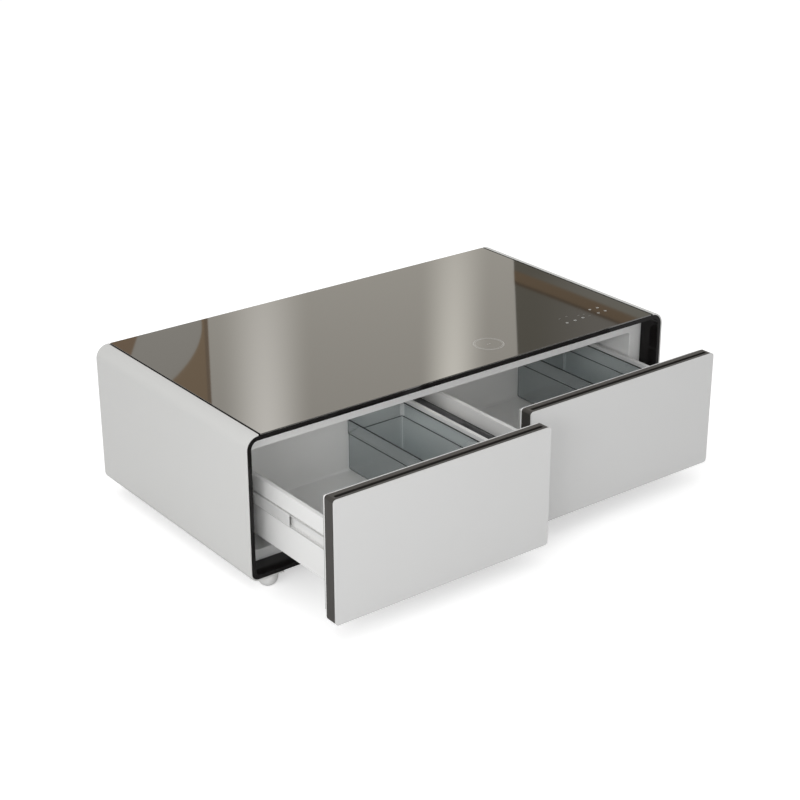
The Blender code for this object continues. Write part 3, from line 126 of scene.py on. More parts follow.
def math_node(tree: Tree, operation: str, *values: object, clamp: bool = False) -> Node:
    """Adds a Math node with its inputs in order."""
    inputs = {f"in_{place}": value for place, value in enumerate(values)}
    return add_node(tree, "Math", operation=operation, use_clamp=clamp, **inputs)


def ramp(
    tree: Tree, value: object, spread: Pair, ends: Pair = (0.0, 1.0), style: str = "LINEAR"
) -> Node:
    """Adds a Map Range node that brings a value's spread to its ends."""
    levels = dict(zip(("in_1", "in_2", "in_3", "in_4"), (*spread, *ends)))
    return add_node(tree, "MapRange", interpolation_type=style, in_0=value, **levels)


def new_group(
    name: str, inputs: dict[str, float | Triple], outputs: dict[str, str]
) -> tuple[Tree, bpy.types.NodeOutputs, Node]:
    """Starts a shader node group with its sockets.

    Args:
        name: name of the group.
        inputs: each input with its starting value; three numbers make a colour socket.
        outputs: each output with the end of its socket's type.

    Returns:
        The group, what its inputs give, and its output node.
    """
    group = bpy.data.node_groups.new(name, "ShaderNodeTree")
    for label, value in inputs.items():
        tinted = isinstance(value, tuple)
        kind = "NodeSocketColor" if tinted else "NodeSocketFloat"
        socket = group.interface.new_socket(name=label, in_out="INPUT", socket_type=kind)
        socket.default_value = (*value, 1) if tinted else value
    for label, kind in outputs.items():
        kind = f"NodeSocket{kind}"
        group.interface.new_socket(name=label, in_out="OUTPUT", socket_type=kind)
    given = group.nodes.new("NodeGroupInput").outputs
    return group, given, group.nodes.new("NodeGroupOutput")


# Shared pattern groups

class Grain(Enum):
    """What the surface of a finish feels like."""

    PEEL = "sprayed_peel"
    MOULDED = "moulded_grain"
    BRUSHED = "brushed_lines"
    CELLS = "cell_pattern"


GRAIN_DETAIL = {Grain.PEEL: 1.0, Grain.MOULDED: 6.0, Grain.BRUSHED: 3.0}
EVEN: Triple = (1.0, 1.0, 1.0)
ALONG_X: Triple = (0.02, 1.0, 1.0)
WIPED: Triple = (1.0, 2.2, 1.0)


def drift_group() -> Tree:
    """The slow change of colour and gloss that every real surface has."""
    group, given, out = new_group(
        "surface_drift",
        {
            "Color": (0.8, 0.8, 0.8), "Roughness": 0.4, "Scale": 4.0, "Colour Shift": 0.03,
            "Gloss Shift": 0.05,
        },
        {"Color": "Color", "Roughness": "Float"},
    )
    place = add_node(group, "TexCoord").outputs["Object"]
    clouds = add_node(
        group, "TexNoise", in_Vector=place, in_Scale=given["Scale"], in_Detail=4.0,
        in_Roughness=0.55,
    )
    centred = math_node(group, "MULTIPLY_ADD", clouds, 2.0, -1.0)
    gain = math_node(group, "MULTIPLY_ADD", centred, given["Colour Shift"], 1.0)
    tone = add_node(group, "VectorMath", operation="SCALE", in_0=given["Color"], in_Scale=gain)
    shift, start = given["Gloss Shift"], given["Roughness"]
    sheen = math_node(group, "MULTIPLY_ADD", centred, shift, start, clamp=True)
    feed(group, out, in_Color=tone, in_Roughness=sheen)
    return group


def stretched_place(group: Tree, stretch: Triple) -> Node:
    """Object coordinates stretched by a Mapping node, for patterns with a direction."""
    place = add_node(group, "TexCoord").outputs["Object"]
    return add_node(group, "Mapping", in_Vector=place, in_Scale=stretch)


def grain_group(grain: Grain) -> Tree:
    """The height pattern of one kind of surface.

    Args:
        grain: the kind of surface.

    Returns:
        A group with a Scale input, and Height and Mask outputs.
    """
    kinds = {"Height": "Float", "Mask": "Float"}
    group, given, out = new_group(grain.value, {"Scale": 400.0}, kinds)
    spot = stretched_place(group, ALONG_X if grain is Grain.BRUSHED else EVEN)
    if grain is Grain.CELLS:
        fine = add_node(group, "TexVoronoi", feature="F1")
        tone = fine.outputs["Color"]
    else:
        detail = GRAIN_DETAIL[grain]
        fine = add_node(group, "TexNoise", in_Detail=detail, in_Roughness=0.6)
        tone = fine.outputs["Fac"]
    feed(group, fine, in_Vector=spot, in_Scale=given["Scale"])
    feed(group, out, in_Height=fine, in_Mask=ramp(group, tone, (0.3, 0.7)))
    return group


def wipe_group() -> Tree:
    """Faint wiping arcs and fingermarks on gloss, as a mask over the surface."""
    group, given, out = new_group("wipe_marks", {"Scale": 3.0, "Amount": 0.5}, {"Mask": "Float"})
    arcs = add_node(
        group, "TexNoise", in_Vector=stretched_place(group, WIPED), in_Scale=given["Scale"],
        in_Detail=7.0, in_Roughness=0.7, in_Distortion=1.4,
    )
    mask = ramp(group, arcs, (0.48, 0.75), style="SMOOTHSTEP")
    feed(group, out, in_Mask=math_node(group, "MULTIPLY", mask, given["Amount"]))
    return group


class Patterns:
    """The shared node groups, each built once."""

    def __init__(self) -> None:
        """Builds the groups."""
        self.drift = drift_group()
        self.grains = {grain: grain_group(grain) for grain in Grain}
        self.wipe = wipe_group()


PATTERNS = Patterns()


# Finishes

WARM_WHITE = (1.0, 0.98, 0.95, 1)
WIPE_SCALE = 3.0


@dataclass(frozen=True)
class Finish:
    """A finish: its colour, its gloss and the grain of its surface."""

    name: str
    colour: Triple
    roughness: float
    slot: str
    metallic: float = 0.0
    coat: float = 0.0
    grain: Grain = Grain.PEEL
    grain_scale: float = 300.0
    grain_depth: float = 0.00004
    grain_tone: float = 0.0
    drift_scale: float = 4.0
    colour_shift: float = 0.03
    gloss_shift: float = 0.04
    wipe: float = 0.0
    ior: float = 1.5
    transmission: float = 0.0
    coat_ior: float = 1.5
    coat_roughness: float = 0.06
    glow: float = 0.0

    def build(self) -> bpy.types.Material:
        """Makes the material.

        Returns:
            The material, or the one that was made before under the same name.
        """
        made = bpy.data.materials.get(self.name)
        if made:
            return made
        material = bpy.data.materials.new(self.name)
        material.use_nodes = True
        tree = material.node_tree
        drift = add_node(
            tree, "Group", node_tree=PATTERNS.drift, in_Color=(*self.colour, 1),
            in_Roughness=self.roughness, in_Scale=self.drift_scale,
            in_Colour_Shift=self.colour_shift, in_Gloss_Shift=self.gloss_shift,
        ).outputs
        group = PATTERNS.grains[self.grain]
        grain = add_node(tree, "Group", node_tree=group, in_Scale=self.grain_scale).outputs
        colour, rough = drift["Color"], drift["Roughness"]
        if self.grain_tone:
            ends = (1.0 - self.grain_tone, 1.0 + self.grain_tone)
            gain = ramp(tree, grain["Mask"], (0.0, 1.0), ends)
            colour = add_node(tree, "VectorMath", operation="SCALE", in_0=colour, in_Scale=gain)
        if self.wipe:
            marks = add_node(
                tree, "Group", node_tree=PATTERNS.wipe, in_Scale=WIPE_SCALE, in_Amount=self.wipe
            )
            rough = math_node(tree, "ADD", rough, marks, clamp=True)
        bump = add_node(
            tree, "Bump", in_Strength=1.0, in_Distance=self.grain_depth, in_Height=grain["Height"]
        )
        shader = feed(
            tree, tree.nodes["Principled BSDF"], in_Base_Color=colour, in_Roughness=rough,
            in_Normal=bump, in_Metallic=self.metallic, in_IOR=self.ior,
            in_Transmission_Weight=self.transmission, in_Coat_Weight=self.coat,
            in_Coat_Roughness=self.coat_roughness, in_Coat_IOR=self.coat_ior,
            in_Emission_Color=WARM_WHITE, in_Emission_Strength=self.glow,
        )
        if self.transmission:
            self.let_light_through(tree, shader)
        return material

    def let_light_through(self, tree: Tree, shader: Node) -> None:
        """Lets the lamps shine through clear plastic, tinted by its colour.

        Args:
            tree: the material's tree.
            shader: the shader that the eye sees.
        """
        shadow = add_node(tree, "LightPath").outputs["Is Shadow Ray"]
        clear = add_node(tree, "BsdfTransparent", in_Color=(*self.colour, 1))
        both = add_node(tree, "MixShader", in_0=shadow, in_1=shader, in_2=clear)
        feed(tree, tree.nodes["Material Output"], in_Surface=both)


LACQUER = Finish(
    "satin_white_lacquer", (0.645, 0.645, 0.632), 0.30, "white_lacquer", coat=0.25,
    colour_shift=0.012, grain_scale=420, grain_depth=0.00002,
)
# A darker copy of the same lacquer for the drawer fronts: painted shade that sets their tone under
# the lamps.
SHADED_FACE_LACQUER = replace(LACQUER, name="drawer_front_lacquer_painted_shade", colour=(0.61, 0.61, 0.605))
TUB_PLASTIC = Finish(
    "white_tub_plastic", (0.845, 0.845, 0.835), 0.36, "white_plastic", grain=Grain.MOULDED,
    grain_scale=1400, grain_depth=0.00005, colour_shift=0.015,
)
# A lighter copy of the tub plastic for the liner and what stands in it: painted light that lifts
# the liner out of the frame's shade.
LIT_LINER_PLASTIC = replace(
    TUB_PLASTIC, name="white_liner_plastic", colour=(0.93, 0.93, 0.92), roughness=0.34
)
FOOT_PLASTIC = replace(
    TUB_PLASTIC, name="white_foot_plastic", colour=(0.72, 0.72, 0.71), roughness=0.35,
    slot="foot_plastic",
)
PIANO_BLACK = Finish(
    "piano_black", (0.006, 0.005, 0.005), 0.12, "black_gloss", ior=1.32, wipe=0.05,
    grain_scale=90, grain_depth=0.00001, colour_shift=0.05, gloss_shift=0.02,
)
BLACK_PLASTIC = Finish(
    "black_moulded_plastic", (0.022, 0.022, 0.022), 0.48, "black_plastic", grain=Grain.MOULDED,
    grain_scale=1200, grain_depth=0.00008, grain_tone=0.10,
)
SEAM_BLACK = replace(
    BLACK_PLASTIC, name="matt_black_tray", colour=(0.006, 0.006, 0.006), roughness=0.75, ior=1.2
)
SMOKED_GLASS = Finish(
    "smoked_mirror_glass", (0.035, 0.032, 0.028), 0.02, "smoked_glass", coat=1.0, coat_ior=1.7,
    ior=1.9, coat_roughness=0.02, wipe=0.01, grain_scale=5, grain_depth=0.0, gloss_shift=0.005,
)
SMOKED_BIN = Finish(
    "smoked_bin_plastic", (0.735, 0.762, 0.765), 0.12, "smoked_plastic", transmission=0.88,
    wipe=0.05, grain_scale=60, grain_depth=0.00002, gloss_shift=0.03, ior=1.49,
)
# Dark trim for the bin's rim; the same finish draws a painted shadow under its lip.
BIN_EDGE_AND_SHADE = Finish(
    "smoked_bin_edge", (0.012, 0.014, 0.016), 0.25, "smoked_plastic", grain=Grain.MOULDED,
    grain_scale=900, grain_depth=0.00002,
)
BRONZE = Finish(
    "bronze_anodised_frame", (0.062, 0.057, 0.052), 0.34, "dark_bronze", metallic=0.55,
    grain=Grain.BRUSHED, grain_scale=1600, grain_depth=0.00003, grain_tone=0.06,
    colour_shift=0.04,
)
RAIL_STEEL = Finish(
    "satin_rail_steel", (0.84, 0.84, 0.83), 0.32, "rail_steel", metallic=0.25,
    grain=Grain.BRUSHED, grain_scale=1500, grain_depth=0.00003, grain_tone=0.05,
)
# A dark copy of the rail steel for the rails at the centre post: painted shade of the slot between
# the drawers.
SHADE_DARK_RAIL = replace(
    RAIL_STEEL, name="rail_steel_painted_shade", colour=(0.23, 0.23, 0.235), roughness=0.42
)
PAN_STEEL = Finish(
    "galvanised_pan", (0.55, 0.56, 0.56), 0.42, "pan_steel", metallic=0.9, grain=Grain.CELLS,
    grain_scale=90, grain_depth=0.00002, grain_tone=0.10,
)
REAR_PAINT = Finish(
    "rear_cover_paint", (0.60, 0.60, 0.59), 0.50, "rear_paint", grain=Grain.MOULDED,
    grain_scale=900, grain_depth=0.00008, colour_shift=0.02,
)
GASKET = Finish(
    "soft_gasket", (0.42, 0.42, 0.41), 0.65, "gasket_rubber", grain=Grain.MOULDED,
    grain_scale=900, grain_tone=0.05,
)
BLACK_RUBBER = replace(
    GASKET, name="black_mount_rubber", colour=(0.03, 0.03, 0.03), roughness=0.8,
    slot="black_rubber",
)
FOOT_RUBBER = replace(
    GASKET, name="foot_pad_rubber", colour=(0.12, 0.12, 0.12), roughness=0.8,
    slot="foot_plastic",
)
FOAM = Finish(
    "poured_foam", (0.80, 0.72, 0.48), 0.9, "foam", grain=Grain.CELLS, grain_scale=420,
    grain_depth=0.0004, grain_tone=0.12, colour_shift=0.06,
)
COPPER = Finish(
    "drawn_copper", (0.78, 0.40, 0.26), 0.30, "copper", metallic=1.0, grain=Grain.MOULDED,
    grain_scale=60, grain_depth=0.00002, grain_tone=0.10, colour_shift=0.12, drift_scale=30,
)
FINS = Finish(
    "evaporator_aluminium", (0.75, 0.76, 0.77), 0.36, "fin_aluminium", metallic=1.0,
    grain=Grain.BRUSHED, grain_scale=1200, grain_depth=0.00003, grain_tone=0.06,
)
ENAMEL = Finish(
    "black_enamel_paint", (0.02, 0.02, 0.021), 0.32, "black_enamel", coat=0.3, grain_scale=160,
    grain_depth=0.0001, colour_shift=0.10,
)
COIL_PAINT = replace(ENAMEL, name="black_coil_paint", slot="coil_steel", roughness=0.40)
BOARD = Finish(
    "board_solder_mask", (0.03, 0.20, 0.08), 0.42, "board_green", grain=Grain.CELLS,
    grain_scale=260, grain_depth=0.00008, grain_tone=0.35,
)
DIFFUSER = Finish(
    "light_diffuser_plastic", (0.86, 0.86, 0.82), 0.45, "light_diffuser", grain=Grain.BRUSHED,
    grain_scale=500, grain_depth=0.0001, glow=2.4,
)
ZINC = Finish(
    "zinc_plated_case", (0.64, 0.65, 0.66), 0.38, "zinc", metallic=0.9, grain=Grain.CELLS,
    grain_scale=120, grain_depth=0.00002, grain_tone=0.08,
)
SCREW_STEEL = replace(ZINC, name="screw_steel", grain=Grain.BRUSHED, grain_scale=3000)
PRINT_GREY = Finish(
    "pale_glass_print", (0.60, 0.59, 0.57), 0.30, "smoked_glass", grain=Grain.MOULDED,
    grain_scale=3000, grain_depth=0.00001, colour_shift=0.04, drift_scale=60,
)
PRINT_WHITE = replace(PRINT_GREY, name="white_glass_print", colour=(0.82, 0.82, 0.80))
PRINT_DIM = replace(PRINT_GREY, name="dim_glass_print", colour=(0.24, 0.23, 0.22))


# Shapes

class Plane(Enum):
    """Which way a lofted outline lies."""

    FRONT = "outlines stand in XZ, one behind the other along Y"
    FLOOR = "outlines lie in XY, one above the other along Z"


def new_verts(made: dict[str, list[object]]) -> list[bmesh.types.BMVert]:
    """The vertices among what an operator made."""
    return [item for item in made["geom"] if isinstance(item, bmesh.types.BMVert)]


def round_off(
    shape: Mesh, geom: Sequence[object], radius: float, steps: int, affect: str
) -> None:
    """Rounds some corners or edges of a bmesh.

    Args:
        shape: the bmesh.
        geom: the corners or edges.
        radius: how far from them the rounding starts.
        steps: its facets.
        affect: VERTICES or EDGES.
    """
    bmesh.ops.bevel(
        shape, geom=geom, offset=radius, offset_type="OFFSET", segments=steps, profile=0.5,
        affect=affect, material=-1,
    )


@dataclass(frozen=True)
class Outline:
    """A rectangle with rounded corners, at one depth of a loft."""

    low: Pair
    high: Pair
    depth: float
    lower_radius: float = SHARP
    upper_radius: float = SHARP

    def inset(self, amount: float, depth: float | None = None) -> "Outline":
        """The same outline brought in by an amount.

        Args:
            amount: how far each side comes in.
            depth: the new outline's depth, or None to stay.

        Returns:
            The new outline.
        """
        return Outline(
            (self.low[0] + amount, self.low[1] + amount),
            (self.high[0] - amount, self.high[1] - amount),
            self.depth if depth is None else depth,
            max(self.lower_radius - amount, SHARP),
            max(self.upper_radius - amount, SHARP),
        )

    def at(self, depth: float) -> "Outline":
        """The same outline at another depth."""
        return replace(self, depth=depth)

    def narrowed(self, amount: float, depth: float) -> "Outline":
        """The same outline brought in at its left and right sides only."""
        low, high = (self.low[0] + amount, self.low[1]), (self.high[0] - amount, self.high[1])
        return replace(self, low=low, high=high, depth=depth)

    def swept(self, base: float, profile: Sequence[Pair]) -> list["Outline"]:
        """The outline at each pair of a profile: an inset, and a depth from the base."""
        return [self.inset(inset, base + rise) for inset, rise in profile]

    def face(self, shape: Mesh, plane: Plane, steps: int) -> bmesh.types.BMFace:
        """Draws the outline as one face of an empty bmesh.

        Args:
            shape: the bmesh, with nothing in it yet.
            plane: which way the outline lies.
            steps: facets of each rounded corner.

        Returns:
            The face.
        """
        bmesh.ops.create_grid(shape, x_segments=1, y_segments=1, size=1)
        middle = ((self.low[0] + self.high[0]) / 2, (self.low[1] + self.high[1]) / 2)
        half = ((self.high[0] - self.low[0]) / 2, (self.high[1] - self.low[1]) / 2, 1)
        bmesh.ops.scale(shape, vec=half, verts=shape.verts)
        lower = [vert for vert in shape.verts if vert.co.y < 0]
        upper = [vert for vert in shape.verts if vert.co.y > 0]
        round_off(shape, lower, self.lower_radius, steps, "VERTICES")
        round_off(shape, upper, self.upper_radius, steps, "VERTICES")
        if plane is Plane.FRONT:
            turn = Matrix.Rotation(math.pi / 2, 3, "X")
            bmesh.ops.rotate(shape, cent=(0, 0, 0), matrix=turn, verts=shape.verts)
            shift = (middle[0], self.depth, middle[1])
        else:
            shift = (*middle, self.depth)
        bmesh.ops.translate(shape, vec=shift, verts=shape.verts)
        shape.faces.ensure_lookup_table()
        return shape.faces[0]


def edges_round(shape: Mesh, row: list[bmesh.types.BMVert]) -> list[bmesh.types.BMEdge]:
    """The edges from each vertex of a closed row to the next."""
    return [shape.edges.get(pair) for pair in zip(row, row[1:] + row[:1])]


def loft(
    outlines: Sequence[Outline], plane: Plane = Plane.FRONT, steps: int = 8, ring: bool = False
) -> Mesh:
    """Draws a skin through a row of outlines.

    Args:
        outlines: the outlines, in order.
        plane: which way they lie.
        steps: facets of each rounded corner.
        ring: whether the last outline lies on the first one, as in a frame; otherwise both
            ends are closed.

    Returns:
        The closed shape.
    """
    shape = bmesh.new()
    first = outlines[0].face(shape, plane, steps)
    row = [corner.vert for corner in first.loops]
    if ring:
        bmesh.ops.delete(shape, geom=[first], context="FACES_ONLY")
    for outline in outlines[1:]:
        scratch = bmesh.new()
        face = outline.face(scratch, plane, steps)
        spots = [corner.vert.co.copy() for corner in face.loops]
        scratch.free()
        drawn = bmesh.ops.extrude_edge_only(shape, edges=edges_round(shape, row))
        fresh = set(new_verts(drawn))
        row = [
            next(far for far in (edge.other_vert(vert) for edge in vert.link_edges) if far in fresh)
            for vert in row
        ]
        for vert, spot in zip(row, spots):
            vert.co = spot
    if not ring:
        bmesh.ops.contextual_create(shape, geom=edges_round(shape, row))
    bmesh.ops.remove_doubles(shape, verts=shape.verts, dist=WELD)
    bmesh.ops.recalc_face_normals(shape, faces=shape.faces)
    return shape


def bent_sheet(
    corners: Sequence[Pair], radii: Sequence[float], start: float, end: float, steps: int
) -> Mesh:
    """Draws a line in XZ out along Y and rounds its bends; the wall comes from a modifier.

    Args:
        corners: the line's points.
        radii: the radius of each bend, one for each point between the two ends.
        start: where the sheet starts along Y.
        end: where it ends.
        steps: facets of each bend.

    Returns:
        The open sheet.
    """
    shape = bmesh.new()
    points = [shape.verts.new((x, start, z)) for x, z in corners]
    edges = [shape.edges.new(pair) for pair in zip(points, points[1:])]
    moved = new_verts(bmesh.ops.extrude_edge_only(shape, edges=edges))
    bmesh.ops.translate(shape, vec=(0, end - start, 0), verts=moved)
    for (x, z), radius in zip(corners[1:-1], radii):
        bend = [
            edge
            for edge in shape.edges
            if all(math.hypot(vert.co.x - x, vert.co.z - z) < NEAR for vert in edge.verts)
        ]
        round_off(shape, bend, radius, steps, "EDGES")
    bmesh.ops.recalc_face_normals(shape, faces=shape.faces)
    return shape


def add_spun(
    shape: Mesh, profile: Sequence[Pair], centre: Vector, steps: int, turn: Matrix | None = None
) -> None:
    """Adds a turned form to a bmesh.

    Args:
        shape: the bmesh.
        profile: radius and height of each point, from the top of the axis to its foot.
        centre: where the foot of the axis stands.
        steps: facets round the axis.
        turn: how the axis is turned from +Z, or None.
    """
    before = set(shape.verts)
    points = [shape.verts.new((radius, 0, height)) for radius, height in profile]
    edges = [shape.edges.new(pair) for pair in zip(points, points[1:])]
    bmesh.ops.spin(
        shape, geom=points + edges, cent=(0, 0, 0), axis=(0, 0, 1), dvec=(0, 0, 0),
        angle=2 * math.pi, steps=steps, use_merge=True, use_duplicate=False,
    )
    fresh = [vert for vert in shape.verts if vert not in before]
    bmesh.ops.remove_doubles(shape, verts=fresh, dist=WELD)
    fresh = [vert for vert in shape.verts if vert not in before]
    faces = list({face for vert in fresh for face in vert.link_faces})
    bmesh.ops.recalc_face_normals(shape, faces=faces)
    if turn is not None:
        bmesh.ops.rotate(shape, cent=(0, 0, 0), matrix=turn, verts=fresh)
    bmesh.ops.translate(shape, vec=centre, verts=fresh)


def add_block(shape: Mesh, low: Sequence[float], high: Sequence[float]) -> None:
    """Adds a block to a bmesh.

    Args:
        shape: the bmesh.
        low: the block's lowest corner.
        high: its highest corner.
    """
    low, high = Vector(low), Vector(high)
    made = bmesh.ops.create_cube(shape, size=1)["verts"]
    bmesh.ops.scale(shape, vec=high - low, verts=made)
    bmesh.ops.translate(shape, vec=(low + high) / 2, verts=made)


BEVEL_ANGLE = math.radians(35)
FLAT_ANGLE = math.radians(1)


@dataclass(frozen=True)
class Piece:
    """One finished piece of the table."""

    name: str
    finish: Finish
    body: str = "cabinet"
    stands_for: tuple[str, ...] = ()
    edge: float = 0.0
    wall: float = 0.0
    edge_steps: int = 2

    def make(self, shape: Mesh) -> None:
        """Turns a bmesh into the piece, which rides on its body.

        Args:
            shape: its shape, in its place; it is freed.
        """
        mesh = bpy.data.meshes.new(self.name)
        shape.to_mesh(mesh)
        shape.free()
        mesh.shade_smooth()
        thing = bpy.data.objects.new(self.name, mesh)
        bpy.context.scene.collection.objects.link(thing)
        mesh.materials.append(self.finish.build())
        if self.wall:
            wall = thing.modifiers.new("wall", "SOLIDIFY")
            wall.thickness = self.wall
            wall.offset = 0
            wall.use_even_offset = True
        if self.edge:
            bevel = thing.modifiers.new("edges", "BEVEL")
            bevel.width = self.edge
            bevel.segments = self.edge_steps
            bevel.limit_method = "ANGLE"
            bevel.angle_limit = BEVEL_ANGLE
        thing.modifiers.new("shading", "WEIGHTED_NORMAL").keep_sharp = True
        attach(thing, self.body)
        if self.stands_for:
            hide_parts(*self.stands_for)
        LOG.info("%s rides on %s in %s", self.name, self.body, self.finish.name)


def dress(finish: Finish, *nodes: str) -> None:
    """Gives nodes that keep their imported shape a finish.

    Args:
        finish: the finish.
        nodes: the nodes' names.
    """
    for node in nodes:
        for slot in frame["nodes"][node].material_slots:
            slot.material = finish.build()
        LOG.info("%s keeps its shape in %s", node, finish.name)


def softened(node: str, finish: Finish, edge: float) -> None:
    """Replaces a node by a copy whose sharp edges are rounded.

    Args:
        node: the node.
        finish: the copy's finish.
        edge: width of the rounding.
    """
    shape = bmesh.new()
    shape.from_mesh(frame["nodes"][node].data)
    bmesh.ops.remove_doubles(shape, verts=shape.verts, dist=WELD)
    bmesh.ops.dissolve_limit(
        shape, angle_limit=FLAT_ANGLE, verts=shape.verts, edges=shape.edges, delimit={"NORMAL"}
    )
    body = body_of(frame["nodes"][node])[0]
    Piece(f"{node}_softened", finish, body, (node,), edge).make(shape)


def outline_of(
    node: str, lower: float, upper: float | None = None, plane: Plane = Plane.FRONT
) -> tuple[Outline, float, float]:
    """The outline of a node's box.

    Args:
        node: the node.
        lower: radius of the outline's two lower corners, or those towards the front.
        upper: radius of the other two, or None for the same.
        plane: which way it lies.

    Returns:
        The outline at the near end of the box, and the depths of its near and far ends.
    """
    low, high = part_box(node)
    upper = lower if upper is None else upper
    if plane is Plane.FRONT:
        return Outline((low.x, low.z), (high.x, high.z), low.y, lower, upper), low.y, high.y
    return Outline((low.x, low.y), (high.x, high.y), low.z, lower, upper), low.z, high.z


def middle_of(node: str, height: float) -> Vector:
    """The middle of a node's box, at a given height."""
    low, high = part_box(node)
    return Vector(((low.x + high.x) / 2, (low.y + high.y) / 2, height))


# Cabinet

# Shares of a foot's radius and height, down its dome
FOOT_DOME: tuple[Pair, ...] = (
    (0, 1), (0.97, 1), (1, 0.985), (1, 0.70), (0.985, 0.58), (0.95, 0.45), (0.89, 0.32),
    (0.81, 0.20), (0.72, 0.11), (0.64, 0.06), (0.60, 0.045), (0, 0.045),
)


@dataclass
class WhiteShell:
    """The white sides that roll into the top and the underside, and the feet."""

    wall: float = 0.004
    top_radius: float = 0.034
    bottom_radius: float = 0.022
    edge: float = 0.0006
    seam: float = 0.0015
    foot_pad: float = 0.0012
    pad_reach: float = 0.58
    pad_top: float = 0.05
    pad_taper: float = 0.95

    def build(self) -> None:
        """Builds both sides and the four feet."""
        for side, name in ((-1, "left"), (1, "right")):
            self.side_panel(side, name)
        for end in ("front", "rear"):
            for side in ("left", "right"):
                self.foot(f"foot_{end}_{side}")

    def side_panel(self, side: int, name: str) -> None:
        """Bends one side from a sheet.

        Args:
            side: -1 for the left, 1 for the right.
            name: the side's name.
        """
        node = f"{name}_side_panel"
        low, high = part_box(node)
        inset = self.wall / 2
        outer = high.x - inset if side > 0 else low.x + inset
        flange = low.x if side > 0 else high.x
        seam = side * (abs(outer) + inset - self.top_radius - self.seam)
        top, bottom = high.z - inset, low.z + inset
        corners = [(seam, top), (outer, top), (outer, bottom), (flange, bottom)]
        radii = (self.top_radius - inset, self.bottom_radius - inset)
        sheet = bent_sheet(corners, radii, low.y, high.y, steps=20)
        panel = Piece(f"{name}_side", LACQUER, stands_for=(node,), edge=self.edge, wall=self.wall)
        panel.make(sheet)

    def foot(self, node: str) -> None:
        """Turns one domed foot with the soft pad under it.

        Args:
            node: the foot's node.
        """
        low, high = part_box(node)
        radius = (high.x - low.x) / 2
        height = high.z - low.z
        centre = middle_of(node, low.z)
        dome = bmesh.new()
        profile = [(radius * across, height * up) for across, up in FOOT_DOME]
        add_spun(dome, profile, centre, steps=40)
        Piece(f"{node}_dome", FOOT_PLASTIC, stands_for=(node,)).make(dome)
        pad = bmesh.new()
        reach, top = radius * self.pad_reach, height * self.pad_top
        profile = [(0, top), (reach, top), (reach, self.foot_pad / 2)]
        profile += [(reach * self.pad_taper, 0), (0, 0)]
        add_spun(pad, profile, centre, steps=32)
        Piece(f"{node}_pad", FOOT_RUBBER).make(pad)


# Places of the printed marks from the front left corner of the touch board
KEY_PLACES: tuple[Pair, ...] = (
    (0.011, 0.013), (0.039, 0.014), (0.068, 0.015), (0.123, 0.048), (0.148, 0.046),
    (0.149, 0.017), (0.124, 0.016),
)
DASH_PLACES: tuple[Pair, ...] = (
    (0.014, 0.046), (0.040, 0.048), (0.071, 0.035), (0.087, 0.032), (0.090, 0.0145),
)


@dataclass
class GlassTop:
    """The flush smoked glass with its printed marks, and what lies under it."""

    sink: float = 0.00010
    edge: float = 0.0007
    corner: float = 0.0010
    side_gap: float = 0.0024
    ring_radius: float = 0.039
    ring_gap: float = 0.0042
    line: float = 0.0011
    inner_line: float = 0.00066
    key_radius: float = 0.0036
    key_line: float = 0.0008
    key_stroke: Pair = (0.0018, 0.0004)
    dash: Pair = (0.0036, 0.0007)
    centre_dash: Pair = (0.0022, 0.0006)
    centre_reach: float = 0.0035

    def build(self) -> None:
        """Builds the pane, the charging ring and the touch marks."""
        base, foot, top = outline_of("glass_top", self.corner, plane=Plane.FLOOR)
        base = base.narrowed(self.side_gap, foot)
        top -= self.sink
        pane = Piece(
            "glass_pane", SMOKED_GLASS, stands_for=("glass_top",), edge=self.edge, edge_steps=3
        )
        pane.make(loft([base, base.at(top)], Plane.FLOOR, steps=4))
        self.ring(top)
        self.touch_marks(top)
        dress(SEAM_BLACK, "glass_tray")
        dress(BOARD, "touch_board")
        dress(COPPER, "charger_coil")

    def add_ring(self, shape: Mesh, centre: Vector, radius: float, line: float) -> None:
        """Adds a flat printed ring to a bmesh.

        Args:
            shape: the bmesh.
            centre: the ring's centre.
            radius: its outer radius.
            line: width of its line.
        """
        inner = radius - line
        profile = [(inner, self.sink), (radius, self.sink), (radius, 0), (inner, 0)]
        add_spun(shape, [*profile, profile[0]], centre, steps=72)

    def add_dash(self, shape: Mesh, centre: Vector, half: Pair) -> None:
        """Adds a flat printed dash to a bmesh, given half its length and width."""
        reach = Vector((*half, 0))
        add_block(shape, centre - reach, centre + reach + Vector((0, 0, self.sink)))

    def ring(self, top: float) -> None:
        """Prints the charging ring over its coil.

        Args:
            top: height of the glass.
        """
        centre = middle_of("charger_coil", top)
        shape = bmesh.new()
        self.add_ring(shape, centre, self.ring_radius, self.line)
        self.add_ring(shape, centre, self.ring_radius - self.ring_gap, self.inner_line)
        for side in (-1, 1):
            shift = Vector((side * self.centre_reach, 0, 0))
            self.add_dash(shape, centre + shift, self.centre_dash)
        Piece("charging_ring", PRINT_GREY).make(shape)

    def touch_marks(self, top: float) -> None:
        """Prints the generic touch marks over their board.

        Args:
            top: height of the glass.
        """
        low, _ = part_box("touch_board")
        long, wide = self.key_stroke
        keys = bmesh.new()
        for index, (along, across) in enumerate(KEY_PLACES):
            centre = Vector((low.x + along, low.y + across, top))
            self.add_ring(keys, centre, self.key_radius, self.key_line)
            self.add_dash(keys, centre, (long, wide))
            if index % 2:
                self.add_dash(keys, centre, (wide, long))
        Piece("touch_marks", PRINT_WHITE).make(keys)
        dashes = bmesh.new()
        for along, across in DASH_PLACES:
            self.add_dash(dashes, Vector((low.x + along, low.y + across, top)), self.dash)
        Piece("touch_dashes", PRINT_DIM).make(dashes)


